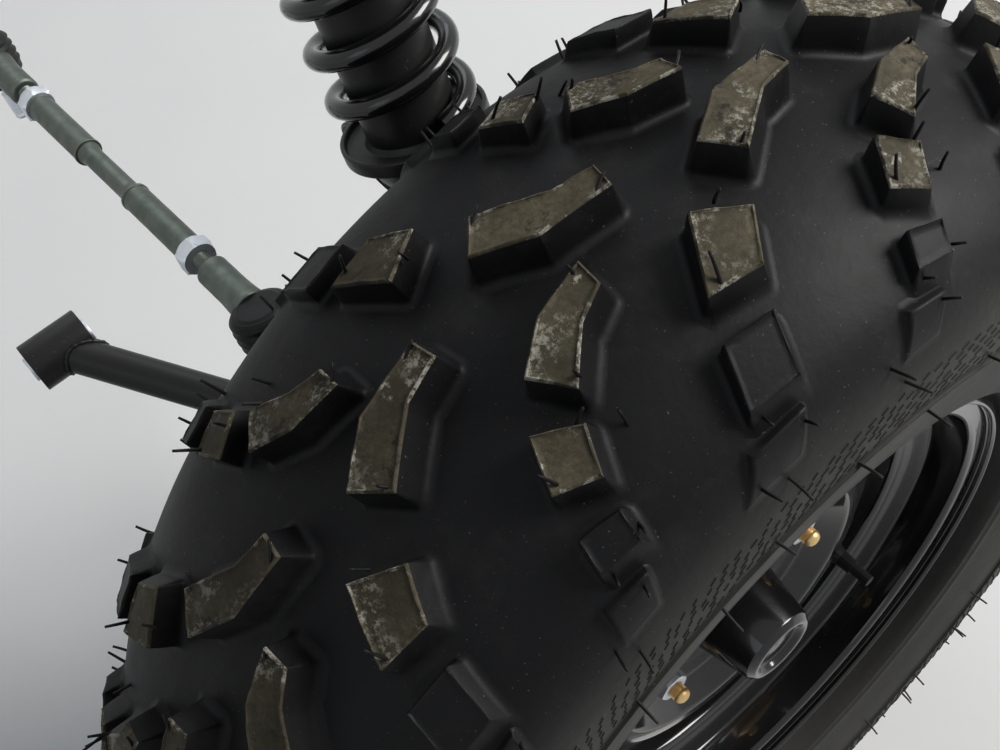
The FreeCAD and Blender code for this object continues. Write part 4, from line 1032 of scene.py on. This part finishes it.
def make_tie_rod(mats):
    """Tie rod with its jam nuts, ball joints and ribbed boots."""
    parts = [(STEER_BALL + ROD_WAY * ROD_END, ROD_WAY, ROD_BAR, 48, 0.8)]
    for height in (ROD_BEAD_AT, ROD_LONG - ROD_BEAD_AT):
        parts.append((STEER_BALL + ROD_WAY * (ROD_END + height), ROD_WAY, ROD_BEAD, 48, 0.4))
    turned("tie_rod_smooth", parts, mats["green"], "tie_rod", ("tie_rod_tube",), "green_zinc", 40.0)
    parts = []
    for centre, inward in ROD_BALLS:
        parts.append((centre, inward, END_NECK, 48, 1.5))
        parts.append((centre, inward, END_THREAD, 32, 0.0))
        parts.append((centre, -STRUT_WAY, END_HOUSING, 64, 0.8))
    turned("tie_rod_ends_smooth", parts, mats["green"], "tie_rod", ("tie_rod_ends",), "green_zinc", 40.0)
    parts = [(centre, -STRUT_WAY, END_BOOT, 64, 1.0) for centre, _ in ROD_BALLS]
    turned("tie_rod_boots_ribbed", parts, mats["rubber"], "tie_rod", ("tie_rod_boots",), "rubber", 60.0)
    verts, faces = [], []
    for centre, inward in ROD_BALLS:
        hexed(centre + inward * JAM_NUT_AT, inward, 5.0, verts, faces)
    lathed(ROD_BALLS[1][0], -STRUT_WAY, INNER_STUD, 40, verts, faces)
    add_piece("tie_rod_nuts_smooth", verts, faces, [mats["zinc"]], "tie_rod", ("tie_rod_nuts_and_stud",),
              "zinc", sharp=30.0)


def make_ball_joints(mats):
    """Ball studs, their nuts and the lower joint's boot."""
    verts, faces = [], []
    nut_verts, nut_faces = [], []
    for centre, way, ball_r, seat in BALL_STUDS:
        outline = [(-ball_r * math.cos(a), ball_r * math.sin(a)) for a in np.linspace(0.0, 2.45, 12)]
        outline += [(ball_r, 6.0)] + thread_rows(seat, seat + 11.0, 6.0)
        outline += [(seat + 12.0, 5.2), (seat + 12.0, 0.0)]
        lathed(centre, way, outline, 40, verts, faces)
        hexed(centre + way * seat, way, 6.0, nut_verts, nut_faces)
    zinc = [mats["zinc"]]
    add_piece("ball_studs_smooth", verts, faces, zinc, "knuckle", ("ball_studs",), "zinc", sharp=40.0)
    add_piece("ball_stud_nuts_smooth", nut_verts, nut_faces, zinc, "knuckle", ("ball_stud_nuts",), "zinc",
              sharp=30.0)
    turned("lower_ball_boot_ribbed", [(LOW_BALL, STRUT_WAY, LOWER_BOOT, 64, 0.8)], mats["rubber"],
           "suspension", ("lower_ball_boot",), "rubber", 60.0)


def arm_leg(root, eye, verts, faces):
    """Adds a tube from the arm's root to its bush case, cut to the case's curve; gives its weld line."""
    run, side, other = axes(eye - root)
    weld = []
    for radius, start_at in ((LEG_R, 0.4), (LEG_BORE_R, 0.0)):
        for k in range(ARM_SIDES):
            a = ROUND * k / ARM_SIDES
            radial = side * math.cos(a) + other * math.sin(a)
            point = root + radial * radius
            gap = point - eye
            b = gap[1] * run[1] + gap[2] * run[2]
            c = gap[1] ** 2 + gap[2] ** 2 - LEG_REACH ** 2
            d = run[1] ** 2 + run[2] ** 2
            t = (-b - math.sqrt(max(0.0, b * b - d * c))) / d
            verts += [tuple(point + run * start_at), tuple(point + run * t)]
            if radius == LEG_R:
                weld.append((point + run * (t - 0.6), radial))
    for k in range(ARM_SIDES):
        n = (k + 1) % ARM_SIDES
        o, i = 2 * k, 2 * ARM_SIDES + 2 * k
        on, i_n = 2 * n, 2 * ARM_SIDES + 2 * n
        faces += [(o, on, on + 1, o + 1), (i, i + 1, i_n + 1, i_n), (o, i, i_n, on)]
    return weld, run


def weld_bead(weld, run, verts, faces):
    """Adds a rippled weld bead along a closed line."""
    ring_quads(len(verts), len(weld), BEAD_SIDES, faces, flip=True)
    for index, (point, radial) in enumerate(weld):
        ripple = 1.6 + 0.35 * math.cos(index * 2.0)
        verts += circle(point + radial * 0.3, radial, run, ripple, BEAD_SIDES)


def make_arm_tubes(mats):
    """The lower arm's two legs with their bush cases and welds, the cross tube, the bushes and sleeves."""
    satin = mats["satin"]
    inward = unit((0.0, -WHEEL[1] - LOW_BALL[1], -WHEEL[2] - LOW_BALL[2]))
    eyes = [np.array((sign * PIVOT_HALF, 0.0, 0.0)) - WHEEL for sign in (-1.0, 1.0)]
    roots = [LOW_BALL + inward * LEG_START + np.array((x, 0.0, 0.0)) for x in (-LEG_SPLAY, LEG_SPLAY)]
    for name, root, eye in zip(("front", "rear"), roots, eyes):
        verts, faces = [], []
        weld, run = arm_leg(root, eye, verts, faces)
        weld_bead(weld, run, verts, faces)
        lathed(eye, ALONG, BUSH_CASE, 72, verts, faces, 0.8)
        add_piece("lower_arm_%s_smooth" % name, verts, faces, [satin], "suspension",
                  ("lower_arm_%s_tube" % name,), "black_paint", sharp=45.0)
    mid = LOW_BALL + inward * CROSS_START
    front, rear = [root + (eye - root) * ((mid - root) @ inward / ((eye - root) @ inward))
                   for root, eye in zip(roots, eyes)]
    end = float(np.linalg.norm(rear - front)) - 12.0
    cross = ((12.0, 6.5), (12.0, 9.0), (end, 9.0), (end, 6.5))
    turned("lower_arm_cross_smooth", [(front, rear - front, cross, 48, 0.3)], satin, "suspension",
           ("lower_arm_cross_tube",), "black_paint", 45.0)
    turned("lower_arm_bushes_smooth", [(eye, ALONG, BUSH, 64, 0.6) for eye in eyes], mats["rubber"],
           "suspension", ("lower_arm_bushes",), "bush_plastic", 45.0)
    turned("lower_arm_sleeves_smooth", [(eye, ALONG, SLEEVE, 48, 0.6) for eye in eyes], mats["zinc"],
           "suspension", ("lower_arm_sleeves",), "zinc", 45.0)


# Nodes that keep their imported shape, and their materials
KEPT = {"hub": "steel", "bearings": "steel", "brake_disc": "steel", "caliper": "alloy", "brake_pads": "pad",
        "valve_stem": "rubber", "knuckle": "cast", "spindle_nut": "zinc", "pinch_bolts": "zinc",
        "steering_arm": "cast", "lower_arm_yoke": "satin"}


def finish_nodes(mats):
    """Gives each kept node its material."""
    for name, mat in KEPT.items():
        for slot in frame["nodes"][name].material_slots:
            slot.material = mats[mat]


camera()
floor()
world()
for lamp in LAMPS:
    light(*lamp)

MATS = {
    "steel": plated("machined_steel", (0.50, 0.50, 0.50), 0.30),
    "zinc": plated("zinc_plate", (0.70, 0.74, 0.78), 0.36, (0.75, 0.75, 0.77)),
    "chrome": plated("chrome_rod", (0.72, 0.72, 0.73), 0.10, (0.9, 0.9, 0.9)),
    "gold": plated("yellow_zinc", (0.78, 0.56, 0.26), 0.32, (0.6, 0.5, 0.4)),
    "green": plated("green_zinc", (0.13, 0.145, 0.13), 0.38, (0.5, 0.6, 0.55)),
    "alloy": paint("cast_alloy", (0.20, 0.20, 0.205), 0.45),
    "pad": rubber("pad_compound", (0.06, 0.055, 0.05), 0.8),
    "rubber": rubber("boot_rubber", (0.014, 0.015, 0.015), 0.45),
    "cast": paint("cast_iron", (0.022, 0.022, 0.023), 0.5, 0.0, 0.5),
    "satin": paint("black_satin", (0.012, 0.012, 0.012), 0.34),
    "gloss": paint("black_gloss", (0.006, 0.006, 0.0065), 0.16, 0.5, 0.08),
    "rim": paint("rim_gloss", (0.0045, 0.0045, 0.005), 0.12, 0.6, 0.06),
    # The tyre's base colour is the black of its rubber with painted shade on top: it is darker than real
    # rubber, standing in for the shadow of the bike's body above.
    "tyre": rubber("tyre_rubber_painted_shade", (0.0048, 0.0050, 0.0058), 0.52, 0.35, (0.021, 0.0205, 0.019)),
    "lug_top": lug_top("lug_top", 0.585),
    "lug_edge": lug_top("lug_edge", 0.535),
}
make_casing(MATS["tyre"])
make_lugs([MATS["tyre"], MATS["lug_top"], MATS["lug_edge"]])
make_pads(MATS["tyre"])
make_hairs(MATS["tyre"])
make_side_ribs(MATS["tyre"])
make_rim(MATS["rim"])
make_fixings(MATS["zinc"], MATS["gold"])
make_spring(MATS["gloss"])
make_strut(MATS)
make_tie_rod(MATS)
make_ball_joints(MATS)
make_arm_tubes(MATS)
finish_nodes(MATS)
